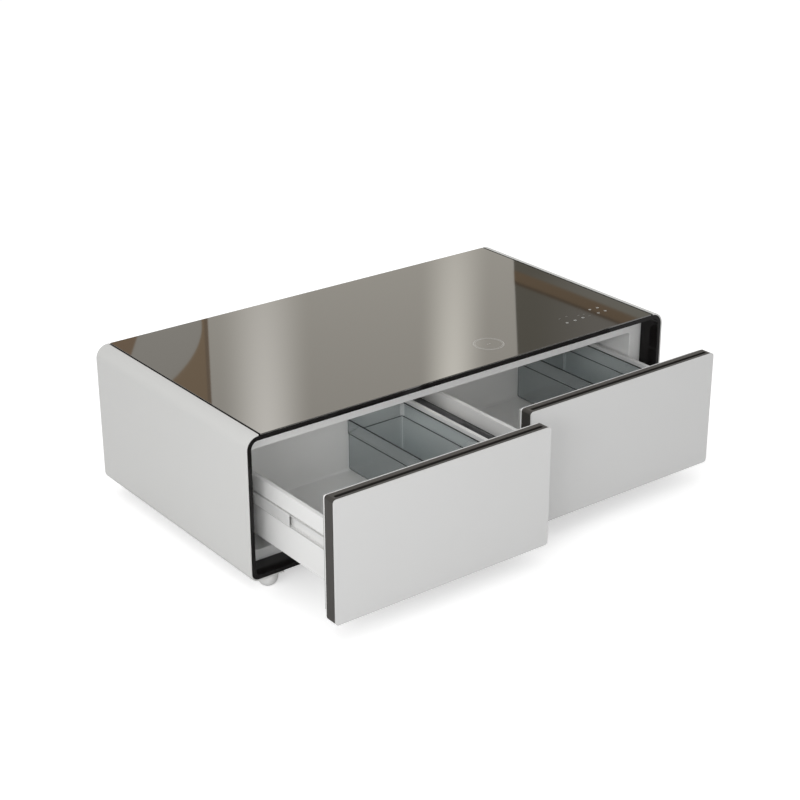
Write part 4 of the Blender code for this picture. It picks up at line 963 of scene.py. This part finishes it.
@dataclass
class FrontFrame:
    """The glossy black frame that lines the recess of the drawer fronts."""

    border: float = 0.015
    outer_lower: float = 0.0174
    outer_upper: float = 0.0294
    inner_lower: float = 0.007
    inner_upper: float = 0.019
    edge: float = 0.0008

    def build(self) -> None:
        """Builds the frame as one moulding, with its opening inside the white sides."""
        outer, near, far = outline_of("front_rim", self.outer_lower, self.outer_upper)
        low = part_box("left_side_panel")[0]
        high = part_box("right_side_panel")[1]
        start = (low.x + self.border, low.z + self.border)
        end = (high.x - self.border, high.z - self.border)
        inner = Outline(start, end, near, self.inner_lower, self.inner_upper)
        rows = [outer, outer.at(far), inner.at(far), inner, outer]
        moulding = Piece(
            "black_front_frame", PIANO_BLACK, stands_for=("front_rim",), edge=self.edge,
            edge_steps=3,
        )
        moulding.make(loft(rows, steps=14, ring=True))


@dataclass
class ColdBox:
    """The white liner with its flange, the post between the drawers, the light and the grille."""

    wall: float = 0.003
    side: float = 0.597
    floor: float = 0.071
    ceiling: float = 0.330
    mouth: float = 0.003
    corner: float = 0.010
    flange_lower: float = 0.010
    flange_upper: float = 0.022
    flange_step: float = 0.0012
    flange_rim: float = 0.015
    alcove_half: float = 0.200
    alcove_margin: float = 0.0145
    alcove_depth: float = 0.050
    alcove_corner: float = 0.004
    round_steps: int = 4

    def build(self) -> None:
        """Builds the liner and softens what stands in it."""
        self.liner()
        softened("centre_divider", LIT_LINER_PLASTIC, edge=0.0012)
        softened("interior_light", DIFFUSER, edge=0.0008)
        softened("evaporator_cover", LIT_LINER_PLASTIC, edge=0.0005)
        dress(FOAM, "insulation_foam")

    def rounded(self, outline: Outline, first: Pair, last: Pair) -> list[Outline]:
        """Quarter of a round between two insets and depths.

        Args:
            outline: the outline without an inset.
            first: inset and depth where the round starts, running along the depth.
            last: inset and depth where it ends, running across.

        Returns:
            The outlines of the round.
        """
        rows = []
        for step in range(self.round_steps + 1):
            angle = math.pi / 2 * step / self.round_steps
            inset = first[0] + (last[0] - first[0]) * (1 - math.cos(angle))
            depth = first[1] + (last[1] - first[1]) * math.sin(angle)
            rows.append(outline.inset(inset, depth))
        return rows

    def liner(self) -> None:
        """Lofts the liner from its back wall out to the flange, and back along its outside."""
        flange, front, rear = outline_of("inner_liner", self.flange_lower, self.flange_upper)
        wall, corner = self.wall, self.corner
        back = rear - wall - self.alcove_depth
        low, high = (-self.side, self.floor), (self.side, self.ceiling)
        cavity = Outline(low, high, front, corner, corner)
        low = (-self.alcove_half, self.floor + self.alcove_margin)
        high = (self.alcove_half, self.ceiling - self.alcove_margin)
        alcove = Outline(low, high, back, self.alcove_corner, self.alcove_corner)
        step = flange.inset(self.flange_rim)
        ledge = front + self.flange_step
        back_round = self.rounded(cavity, (0, back - corner), (corner, back))
        rows = [alcove.at(rear - wall), alcove, *reversed(back_round)]
        rows += self.rounded(cavity, (0, front + self.mouth), (-self.mouth, ledge))
        rows += [step.at(ledge), step.inset(-self.flange_step, front)]
        rows += [flange, flange.at(front + wall)]
        rows += [cavity.inset(-wall, front + wall), cavity.inset(-wall, back + wall)]
        rows += [alcove.inset(-wall, back + wall), alcove.inset(-wall, rear)]
        shape = loft(rows, steps=6)
        # The liner takes the lighter copy of the plastic: painted light.
        Piece("moulded_liner", LIT_LINER_PLASTIC, stands_for=("inner_liner",)).make(shape)


@dataclass
class Machinery:
    """The cooling machine and the electrical parts behind the cold box."""

    def build(self) -> None:
        """Gives each part its finish."""
        dress(PAN_STEEL, "base_pan")
        dress(ENAMEL, "compressor")
        dress(BLACK_RUBBER, "compressor_mount")
        dress(COIL_PAINT, "condenser")
        dress(COPPER, "filter_drier", "discharge_pipe", "suction_pipe")
        dress(
            BLACK_PLASTIC, "drip_tray", "condenser_fan_frame", "condenser_fan_rotor",
            "evaporator_fan_frame", "evaporator_fan_rotor",
        )
        dress(FINS, "evaporator")
        dress(ZINC, "power_supply")
        dress(BOARD, "control_board")


# Shares of a screw's radius and height, from its cross down to its seat
SCREW_PROFILE: tuple[Pair, ...] = (
    (0, 0.55), (0.34, 0.60), (0.36, 1), (0.70, 0.92), (0.93, 0.62), (1, 0.2), (1, 0), (0, 0),
)
PIN_PLACES: tuple[Pair, ...] = ((-0.0065, -0.001), (0, 0.003), (0.0065, -0.001))


@dataclass
class RearCover:
    """The back cover with its screws, and the mains inlet with its pins."""

    screw_radius: float = 0.0042
    screw_height: float = 0.0018
    screw_margin: float = 0.014
    corner_margin: float = 0.030
    screw_bays: Triple = (-0.31, 0.0, 0.31)
    side_heights: Pair = (0.214, 0.234)
    plate_margin: float = 0.012
    cross: Pair = (0.30, 0.07)
    cross_rise: Pair = (0.50, 0.66)
    pin: Triple = (0.002, 0.014, 0.004)
    pin_sunk: float = 0.0004

    def build(self) -> None:
        """Builds the cover, its screws and the inlet."""
        softened("rear_panel", REAR_PAINT, edge=0.0004)
        softened("mains_inlet", BLACK_PLASTIC, edge=0.0005)
        self.screws()
        self.pins()

    def fixing_points(self) -> list[Pair]:
        """Where the screws stand.

        Returns:
            The place of each screw on the cover.
        """
        low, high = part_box("rear_panel")
        plate_low, plate_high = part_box("mains_inlet")
        margin, plate = self.screw_margin, self.plate_margin
        spots = [
            (x, z)
            for x in (low.x + self.corner_margin, *self.screw_bays, high.x - self.corner_margin)
            for z in (low.z + margin, high.z - margin)
            if not (x > plate_low.x and z < plate_high.z)
        ]
        left, right = self.side_heights
        spots += [(low.x + margin, left), (high.x - margin, right)]
        spots += [(x, plate_high.z - plate) for x in (plate_low.x + plate, plate_high.x - plate)]
        return [*spots, (plate_low.x + plate, plate_low.z + margin)]

    def screws(self) -> None:
        """Turns a crossed pan-head screw at each fixing point."""
        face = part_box("rear_panel")[1].y
        shape = bmesh.new()
        turn = Matrix.Rotation(math.pi / 2, 3, "X")
        radius, height = self.screw_radius, self.screw_height
        profile = [(radius * across, height * up) for across, up in SCREW_PROFILE]
        foot, top = (face + height * rise for rise in self.cross_rise)
        long, wide = (radius * share for share in self.cross)
        for x, z in self.fixing_points():
            add_spun(shape, profile, Vector((x, face, z)), steps=20, turn=turn)
            for across, up in ((long, wide), (wide, long)):
                add_block(shape, (x - across, foot, z - up), (x + across, top, z + up))
        Piece("rear_screws", SCREW_STEEL).make(shape)

    def pins(self) -> None:
        """Stands the three flat pins in the socket."""
        openings = frame["record"]["physics"]["openings"]
        low, high = next(row for row in openings if row["name"] == "mains_socket")["box_m"]
        x, z = (low[0] + high[0]) / 2, (low[2] + high[2]) / 2
        wide, _, tall = self.pin
        shape = bmesh.new()
        for across, up in PIN_PLACES:
            foot = Vector((x + across - wide / 2, low[1] - self.pin_sunk, z + up - tall / 2))
            add_block(shape, foot, foot + Vector(self.pin))
        Piece("inlet_pins", SCREW_STEEL, edge=0.0003).make(shape)


# Drawers

# Each pair is an inset, and a share of the gasket's depth
SEAL_PROFILE: tuple[Pair, ...] = (
    (0, 0), (0.0, 0.22), (0.0030, 0.32), (0.0030, 0.44), (0.0, 0.54), (0.0, 0.74),
    (0.0022, 0.90), (0.0045, 1.0), (0.0080, 1.0), (0.0105, 0.84), (0.0105, 0.60),
    (0.0085, 0.46), (0.0110, 0.30), (0.0110, 0),
)
# Each pair is an inset, and a height above the foot or the rim of the tub
TUB_FLOOR_ROUND: tuple[Pair, ...] = (
    (0.012, 0), (0.0045, 0.0012), (0.0012, 0.0045), (0, 0.012),
)
TUB_RIM_INSIDE: tuple[Pair, ...] = ((0, -0.0016), (-0.0006, -0.0004), (-0.0018, 0))
TUB_RIM_OUTSIDE: tuple[Pair, ...] = ((0.0022, 0), (0.0006, -0.0007), (0, -0.0022))
TUB_FOOT_ROUND: tuple[Pair, ...] = ((0, 0.005), (0.0015, 0.0015), (0.005, 0))
BIN_FLOOR_ROUND: tuple[Pair, ...] = ((0.005, 0), (0, 0.006))
BIN_FOOT_ROUND: tuple[Pair, ...] = ((0, 0.007), (0.006, 0))


@dataclass
class Drawer:
    """One drawer: its front, gasket, tub and bin."""

    hand: str
    corner: float = 0.009
    face_edge: float = 0.0009
    band_wall: float = 0.014
    band_corner: float = 0.0085
    band_edge: float = 0.0003
    shadow: float = 0.0007
    shadow_width: float = 0.0012
    groove_setback: float = 0.0077
    groove_width: float = 0.009
    groove_depth: float = 0.006
    groove_end: float = 0.014
    panel_corner: float = 0.006
    panel_chamfer: float = 0.0015
    panel_edge: float = 0.0006
    seal_corner: float = 0.003
    tub_side: float = 0.012
    tub_front: float = 0.010
    tub_back: float = 0.008
    tub_floor: float = 0.004
    tub_corner: float = 0.014
    tub_outer_corners: Pair = (0.003, 0.006)
    tub_edge: float = 0.0005
    recess: float = 0.006
    recess_half: float = 0.0175
    recess_slope: float = 0.0008
    bin_wall: float = 0.003
    bin_corner: float = 0.007
    bin_lip: float = 0.036
    bin_step: float = 0.002
    bin_slope: float = 0.001
    bead: float = 0.0014

    @property
    def body(self) -> str:
        """The body that the drawer rides on."""
        return f"{self.hand}_drawer"

    def build(self) -> None:
        """Builds every piece of the drawer."""
        self.face()
        self.band()
        self.inner_plate()
        self.gasket()
        self.tub()
        self.bin()
        dress(FOAM, self.node("core"))

    def node(self, part: str) -> str:
        """The full name of one of the drawer's nodes."""
        return f"{self.hand}_drawer_{part}"

    def make(
        self, shape: Mesh, name: str, finish: Finish, part: str, edge: float = 0, steps: int = 2
    ) -> None:
        """Finishes one piece of the drawer, which stands for its node."""
        node = self.node(part)
        Piece(f"{self.hand}_{name}", finish, self.body, (node,), edge, edge_steps=steps).make(shape)

    def face(self) -> None:
        """Builds the white front plate."""
        front, _, far = outline_of(self.node("face"), self.corner)
        shape = loft([front, front.at(far)], steps=10)
        # The front plate takes the darker copy of the lacquer: painted shade.
        self.make(shape, "front_plate", SHADED_FACE_LACQUER, "face", self.face_edge, steps=3)

    def band(self) -> None:
        """Builds the bronze frame with a shadow line at each edge and the groove on top."""
        outer, front, back = outline_of(self.node("band"), self.band_corner)
        sunk = outer.inset(self.shadow)
        hole = outer.inset(self.band_wall)
        near, far = front + self.shadow_width, back - self.shadow_width
        rows = [sunk, sunk.at(near), outer.at(near), outer.at(far), sunk.at(far)]
        rows += [sunk.at(back), hole.at(back), hole, sunk]
        shape = loft(rows, steps=10, ring=True)
        self.groove(shape, outer)
        self.make(shape, "bronze_band", BRONZE, "band", self.band_edge)

    def groove(self, shape: Mesh, outer: Outline) -> None:
        """Sinks the finger groove into the top of the band.

        Args:
            shape: the band.
            outer: its outline at the front.
        """
        start = outer.depth + self.groove_setback
        end = start + self.groove_width
        left, right = outer.low[0] + self.groove_end, outer.high[0] - self.groove_end
        top = outer.high[1] - self.shadow_width
        along, across = (1, 0, 0), (0, 1, 0)
        cuts = (
            ((0, start, 0), across), ((0, end, 0), across),
            ((left, 0, 0), along), ((right, 0, 0), along),
        )
        for point, normal in cuts:
            geometry = [*shape.verts, *shape.edges, *shape.faces]
            bmesh.ops.bisect_plane(
                shape, geom=geometry, dist=WELD, plane_co=point, plane_no=normal
            )
        floor = []
        for face in shape.faces:
            spot = face.calc_center_median()
            inside = start < spot.y < end and left < spot.x < right
            if inside and face.normal.z > UPWARD and spot.z > top:
                floor.append(face)
        sunk = new_verts(bmesh.ops.extrude_face_region(shape, geom=floor))
        bmesh.ops.delete(shape, geom=floor, context="FACES")
        bmesh.ops.translate(shape, vec=(0, 0, -self.groove_depth), verts=sunk)
        bmesh.ops.recalc_face_normals(shape, faces=shape.faces)

    def inner_plate(self) -> None:
        """Builds the white plate behind the band, with its edge chamfered towards the tub."""
        plate, _, far = outline_of(self.node("inner_plate"), self.panel_corner)
        chamfer = self.panel_chamfer
        shape = loft([plate, plate.at(far - chamfer), plate.inset(chamfer, far)], steps=8)
        self.make(shape, "inner_panel", LIT_LINER_PLASTIC, "inner_plate", self.panel_edge)

    def gasket(self) -> None:
        """Builds the bellows of the seal."""
        outer, near, far = outline_of(self.node("gasket"), self.seal_corner)
        depth = far - near
        rows = outer.swept(near, [(inset, depth * share) for inset, share in SEAL_PROFILE])
        self.make(loft([*rows, rows[0]], steps=4, ring=True), "seal", GASKET, "gasket")

    def tub(self) -> None:
        """Lofts the tub from its inner floor over its rounded rim to its underside."""
        outer, foot, rim = outline_of(self.node("tub"), *self.tub_outer_corners, Plane.FLOOR)
        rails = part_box(self.node("inner_rail_left"))
        middle = (rails[0].z + rails[1].z) / 2
        (left, front), (right, back) = outer.low, outer.high
        near = (left + self.tub_side, front + self.tub_front)
        far = (right - self.tub_side, back - self.tub_back)
        inner = Outline(near, far, foot, self.tub_corner, self.tub_corner)
        top, bottom = middle + self.recess_half, middle - self.recess_half
        rows = inner.swept(foot + self.tub_floor, TUB_FLOOR_ROUND)
        rows += inner.swept(rim, TUB_RIM_INSIDE)
        rows += outer.swept(rim, TUB_RIM_OUTSIDE)
        rows += [outer.at(top + self.recess_slope), outer.narrowed(self.recess, top)]
        rows += [outer.narrowed(self.recess, bottom), outer.at(bottom - self.recess_slope)]
        rows += outer.swept(foot, TUB_FOOT_ROUND)
        shape = loft(rows, Plane.FLOOR, steps=6)
        self.make(shape, "tub_shell", TUB_PLASTIC, "tub", self.tub_edge)

    def bin(self) -> None:
        """Lofts the smoked bin with the step under its lip."""
        wall = self.bin_wall
        outer, foot, top = outline_of(self.node("bin"), self.bin_corner, plane=Plane.FLOOR)
        ledge, rim = top - self.bin_lip, top - self.bead
        lower = outer.inset(self.bin_step)
        inside = lower.inset(wall)
        rows = inside.swept(foot + wall, BIN_FLOOR_ROUND)
        rows += [inside.at(ledge + wall), outer.inset(wall, ledge + wall + self.bin_slope)]
        rows += [outer.inset(wall, rim), outer.at(rim), outer.at(ledge)]
        rows += [lower.at(ledge - self.bin_slope), *lower.swept(foot, BIN_FOOT_ROUND)]
        self.make(loft(rows, Plane.FLOOR, steps=5), "smoked_bin", SMOKED_BIN, "bin")
        self.bin_edges(outer, top, ledge)

    def bin_edges(self, outer: Outline, top: float, ledge: float) -> None:
        """Lays a dark bead on the rim of the bin, and one under its lip that is a painted shadow of
        the step.

        Args:
            outer: the bin's outline.
            top: height of its rim.
            ledge: height of the foot of its lip.
        """
        bead, slant = self.bead, self.bead / 4
        inner = outer.inset(self.bin_wall + bead / 2)
        rim = [outer.at(top - bead), outer.inset(slant, top)]
        rim += [inner.inset(-slant, top), inner.at(top - bead)]
        hold, back = outer.inset(slant), outer.inset(self.bin_step + slant)
        upper, lower = ledge - bead / 2, ledge - 2 * bead
        foot = [hold.at(lower), hold.at(upper), back.at(upper), back.at(lower)]
        # The lip bead is painted shadow under the step; the rim bead is dark trim.
        for name, rows in (("bin_rim", rim), ("bin_lip_line", foot)):
            ring = loft([*rows, rows[0]], Plane.FLOOR, steps=5, ring=True)
            Piece(f"{self.hand}_{name}", BIN_EDGE_AND_SHADE, self.body).make(ring)


@dataclass
class Slides:
    """The telescopic slides at both sides of one drawer."""

    hand: str
    steel: float = 0.0012
    bend: float = 0.0016

    def build(self) -> None:
        """Bends the three rails of each side."""
        bodies = {
            "outer": "cabinet", "middle": f"{self.hand}_middle_rails",
            "inner": f"{self.hand}_drawer",
        }
        for side in ("left", "right"):
            for rail, body in bodies.items():
                self.rail(rail, side, body)

    def rail(self, rail: str, side: str, body: str) -> None:
        """Bends one rail.

        Args:
            rail: outer, middle or inner.
            side: left or right.
            body: the body that it rides on.
        """
        node = f"{self.hand}_drawer_{rail}_rail_{side}"
        low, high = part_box(node)
        half = self.steel / 2
        web_at_low = (side == "left") != (rail == "inner")
        web, tip = (low.x + half, high.x) if web_at_low else (high.x - half, low.x)
        top, bottom = high.z - half, low.z + half
        corners = [(tip, top), (web, top), (web, bottom), (tip, bottom)]
        sheet = bent_sheet(corners, (self.bend, self.bend), low.y, high.y, steps=5)
        # The rails at the centre post take the dark copy: painted shade of the slot between the
        # drawers.
        steel = RAIL_STEEL if side == self.hand else SHADE_DARK_RAIL
        name = f"{self.hand}_{rail}_rail_{side}"
        Piece(name, steel, body, (node,), wall=self.steel).make(sheet)


# Studio

@dataclass(frozen=True)
class Panel:
    """An upright panel of the studio's walls, between two azimuths in degrees.

    Its edges lean with the elevation, bow out from BOW_HEIGHT, and it may fade in between two
    elevations.
    """

    start: float
    end: float
    colour: Triple
    soft: float = 0.03
    lean: float = 0.0
    bow: float = 0.0
    fade: Pair | None = None


@dataclass(frozen=True)
class Lamp:
    """A soft square lamp: where it hangs and points, its side, and its power in watts."""

    name: str
    spot: Triple
    target: Triple
    size: float
    power: float


PALE_WALL: Triple = (0.76, 0.75, 0.73)
FLOOR_GREY = (0.82, 0.82, 0.82, 1)
BOW_HEIGHT = 21.0
# Elevations over which all panels fade in and out: higher and lower, gloss mirrors a plain wall
PANEL_FOOT: Pair = (15.5, 17.5)
PANEL_HEAD: Pair = (25.6, 27.6)
WALL_PANELS = (
    Panel(39.91, 46.1, (0.158, 0.147, 0.118), lean=-0.0735),
    Panel(43.2, 47.6, (0.235, 0.220, 0.195), soft=1.4),
    Panel(-17.08, -13.0, (0.275, 0.265, 0.225), lean=-3.02, soft=0.08, fade=(19.4, 20.6)),
    Panel(-18.35, -17.08, (0.205, 0.140, 0.082), lean=-3.02, soft=0.08),
    Panel(-18.42, -18.14, (0.095, 0.062, 0.035), lean=-3.02, soft=0.06),
    Panel(28.5, 39.91, (0.69, 0.655, 0.585), lean=-0.0735),
    Panel(31.72, 33.42, (1.46, 1.41, 1.31), soft=0.88, fade=(16.8, 24.8)),
    Panel(38.66, 39.92, (1.625, 1.57, 1.42), soft=0.66, fade=(16.1, 24.8)),
    Panel(26.0, 30.62, (0.345, 0.245, 0.152)),
    Panel(26.0, 30.42, (0.52, 0.495, 0.445), bow=0.36),
    Panel(35.0, 37.32, (0.32, 0.22, 0.14), lean=0.43),
    Panel(30.50, 30.63, (0.25, 0.18, 0.12)),
)
LAMPS = (
    Lamp("soft_top", (-0.6, 0.4, 3.2), (0, 0.2, 0.3), 2.6, 11),
    Lamp("soft_front", (-0.6, -3.8, 0.7), (0, 0, 0.2), 1.3, 22),
    Lamp("soft_left", (-3.0, -1.9, 1.4), (0, 0, 0.2), 1.4, 33),
    Lamp("soft_back", (2.0, 3.4, 1.3), (0, 0.3, 0.2), 2.2, 22),
)


@dataclass
class Studio:
    """The floor, the light and the camera."""

    eye: Triple = (-2.4983, -3.1807, 2.020)
    azimuth: float = -37.369
    elevation: float = 23.648
    roll: float = -0.140
    lens: float = 78.36
    sensor: float = 36
    sight: float = 60
    floor_size: float = 14.0
    sky: float = 0.65
    floor_lift: float = 0.50

    def build(self) -> None:
        """Builds the whole studio."""
        self.camera()
        self.floor()
        self.world()
        for lamp in LAMPS:
            self.hang(lamp)

    def camera(self) -> None:
        """Stands the camera where the photograph was taken from."""
        turn, tilt = math.radians(self.azimuth), math.radians(self.elevation)
        level = math.cos(tilt)
        back = Vector((math.sin(turn) * level, -math.cos(turn) * level, math.sin(tilt)))
        right = (-back).cross(Vector((0, 0, 1))).normalized()
        up = right.cross(-back)
        spin = Matrix.Rotation(math.radians(self.roll), 3, back)
        axes = Matrix((spin @ right, spin @ up, back)).transposed().to_4x4()
        data = bpy.data.cameras.new("camera")
        data.lens = self.lens
        data.sensor_width = self.sensor
        data.clip_end = self.sight
        camera = bpy.data.objects.new("camera", data)
        camera.matrix_world = Matrix.Translation(self.eye) @ axes
        bpy.context.scene.collection.objects.link(camera)
        bpy.context.scene.camera = camera

    def floor(self) -> None:
        """Lays the pale floor, which stays white where no shadow falls."""
        shape = bmesh.new()
        bmesh.ops.create_grid(shape, x_segments=1, y_segments=1, size=self.floor_size / 2)
        mesh = bpy.data.meshes.new("floor")
        shape.to_mesh(mesh)
        shape.free()
        floor = bpy.data.objects.new("floor", mesh)
        bpy.context.scene.collection.objects.link(floor)
        material = bpy.data.materials.new("pale_floor")
        material.use_nodes = True
        tree = material.node_tree
        tree.nodes.clear()
        paint = add_node(tree, "BsdfDiffuse", in_Color=FLOOR_GREY)
        lift = add_node(tree, "Emission", in_Strength=self.floor_lift)
        dark = add_node(tree, "Emission", in_Strength=0.0)
        eye = add_node(tree, "LightPath").outputs["Is Camera Ray"]
        seen = add_node(tree, "MixShader", in_0=eye, in_1=dark, in_2=lift)
        total = add_node(tree, "AddShader", in_0=paint, in_1=seen)
        add_node(tree, "OutputMaterial", in_Surface=total)
        mesh.materials.append(material)

    def world(self) -> None:
        """A plain sky for light, white to the eye, with the walls where gloss mirrors it."""
        world = bpy.data.worlds.new("studio")
        bpy.context.scene.world = world
        world.use_nodes = True
        tree = world.node_tree
        tree.nodes.clear()
        sky = add_node(tree, "Background", in_Color=WHITE, in_Strength=self.sky)
        white = add_node(tree, "Background", in_Color=WHITE, in_Strength=1.0)
        walls = add_node(tree, "Background", in_Color=self.wall_colour(tree), in_Strength=1.0)
        rays = add_node(tree, "LightPath").outputs
        gloss = add_node(tree, "MixShader", in_0=rays["Is Glossy Ray"], in_1=sky, in_2=walls)
        seen = math_node(tree, "MAXIMUM", rays["Is Camera Ray"], rays["Is Transmission Ray"])
        final = add_node(tree, "MixShader", in_0=seen, in_1=gloss, in_2=white)
        add_node(tree, "OutputWorld", in_Surface=final)

    def wall_colour(self, tree: Tree) -> Socket:
        """Paints the walls and their lights, one over the other, by azimuth and elevation.

        Args:
            tree: the world's tree.

        Returns:
            The colour in each direction.
        """
        place = add_node(tree, "TexCoord").outputs["Generated"]
        axes = add_node(tree, "SeparateXYZ", in_0=place).outputs
        turned = math_node(tree, "ARCTAN2", axes["X"], axes["Y"])
        azimuth = math_node(tree, "DEGREES", turned)
        elevation = math_node(tree, "DEGREES", math_node(tree, "ARCSINE", axes["Z"]))
        colour: object = (*PALE_WALL, 1)
        for panel in WALL_PANELS:
            mask = self.panel_mask(tree, panel, azimuth, elevation)
            colour = self.painted(tree, mask, colour, (*panel.colour, 1))
        foot = ramp(tree, elevation, PANEL_FOOT)
        head = ramp(tree, elevation, PANEL_HEAD, (1.0, 0.0))
        return self.painted(tree, math_node(tree, "MULTIPLY", foot, head), (*PALE_WALL, 1), colour)

    def painted(self, tree: Tree, mask: Node, under: object, over: object) -> Socket:
        """Paints one colour over another where the mask is 1."""
        mix = add_node(tree, "Mix", data_type="RGBA", in_Factor=mask, in_A=under, in_B=over)
        return mix.outputs["Result"]

    def panel_mask(self, tree: Tree, panel: Panel, azimuth: Node, elevation: Node) -> Node:
        """Draws where one panel covers the wall.

        Args:
            tree: the world's tree.
            panel: the panel.
            azimuth: the azimuth of each direction, in degrees.
            elevation: its elevation, in degrees.

        Returns:
            1 on the panel and 0 off it.
        """
        edge = math_node(tree, "MULTIPLY_ADD", elevation, panel.lean, azimuth)
        if panel.bow:
            away = math_node(tree, "SUBTRACT", elevation, BOW_HEIGHT)
            square = math_node(tree, "MULTIPLY", away, away)
            edge = math_node(tree, "MULTIPLY_ADD", square, panel.bow, edge)
        start = (panel.start - panel.soft, panel.start + panel.soft)
        end = (panel.end - panel.soft, panel.end + panel.soft)
        mask = ramp(tree, edge, start, style="SMOOTHSTEP")
        stop = ramp(tree, edge, end, (1.0, 0.0), "SMOOTHSTEP")
        mask = math_node(tree, "MULTIPLY", mask, stop)
        if panel.fade:
            mask = math_node(tree, "MULTIPLY", mask, ramp(tree, elevation, panel.fade))
        return mask

    def hang(self, lamp: Lamp) -> None:
        """Hangs one lamp, which gloss doesn't mirror: it mirrors the walls.

        Args:
            lamp: the lamp.
        """
        data = bpy.data.lights.new(lamp.name, "AREA")
        data.size = lamp.size
        data.energy = lamp.power
        light = bpy.data.objects.new(lamp.name, data)
        aim = (Vector(lamp.target) - Vector(lamp.spot)).to_track_quat("-Z", "Y")
        light.matrix_world = Matrix.Translation(lamp.spot) @ aim.to_matrix().to_4x4()
        light.visible_glossy = False
        bpy.context.scene.collection.objects.link(light)


def main() -> None:
    """Builds the table and its studio."""
    logging.basicConfig(level=logging.INFO, format="%(message)s")
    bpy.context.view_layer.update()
    bpy.context.scene.view_settings.view_transform = "Standard"
    parts = [
        Studio(), WhiteShell(), GlassTop(), FrontFrame(), ColdBox(), Machinery(), RearCover(),
        Drawer("left"), Drawer("right"), Slides("left"), Slides("right"),
    ]
    for part in parts:
        LOG.info("Building %s", type(part).__name__)
        part.build()
    bpy.context.view_layer.update()


if __name__ == "__main__":
    main()
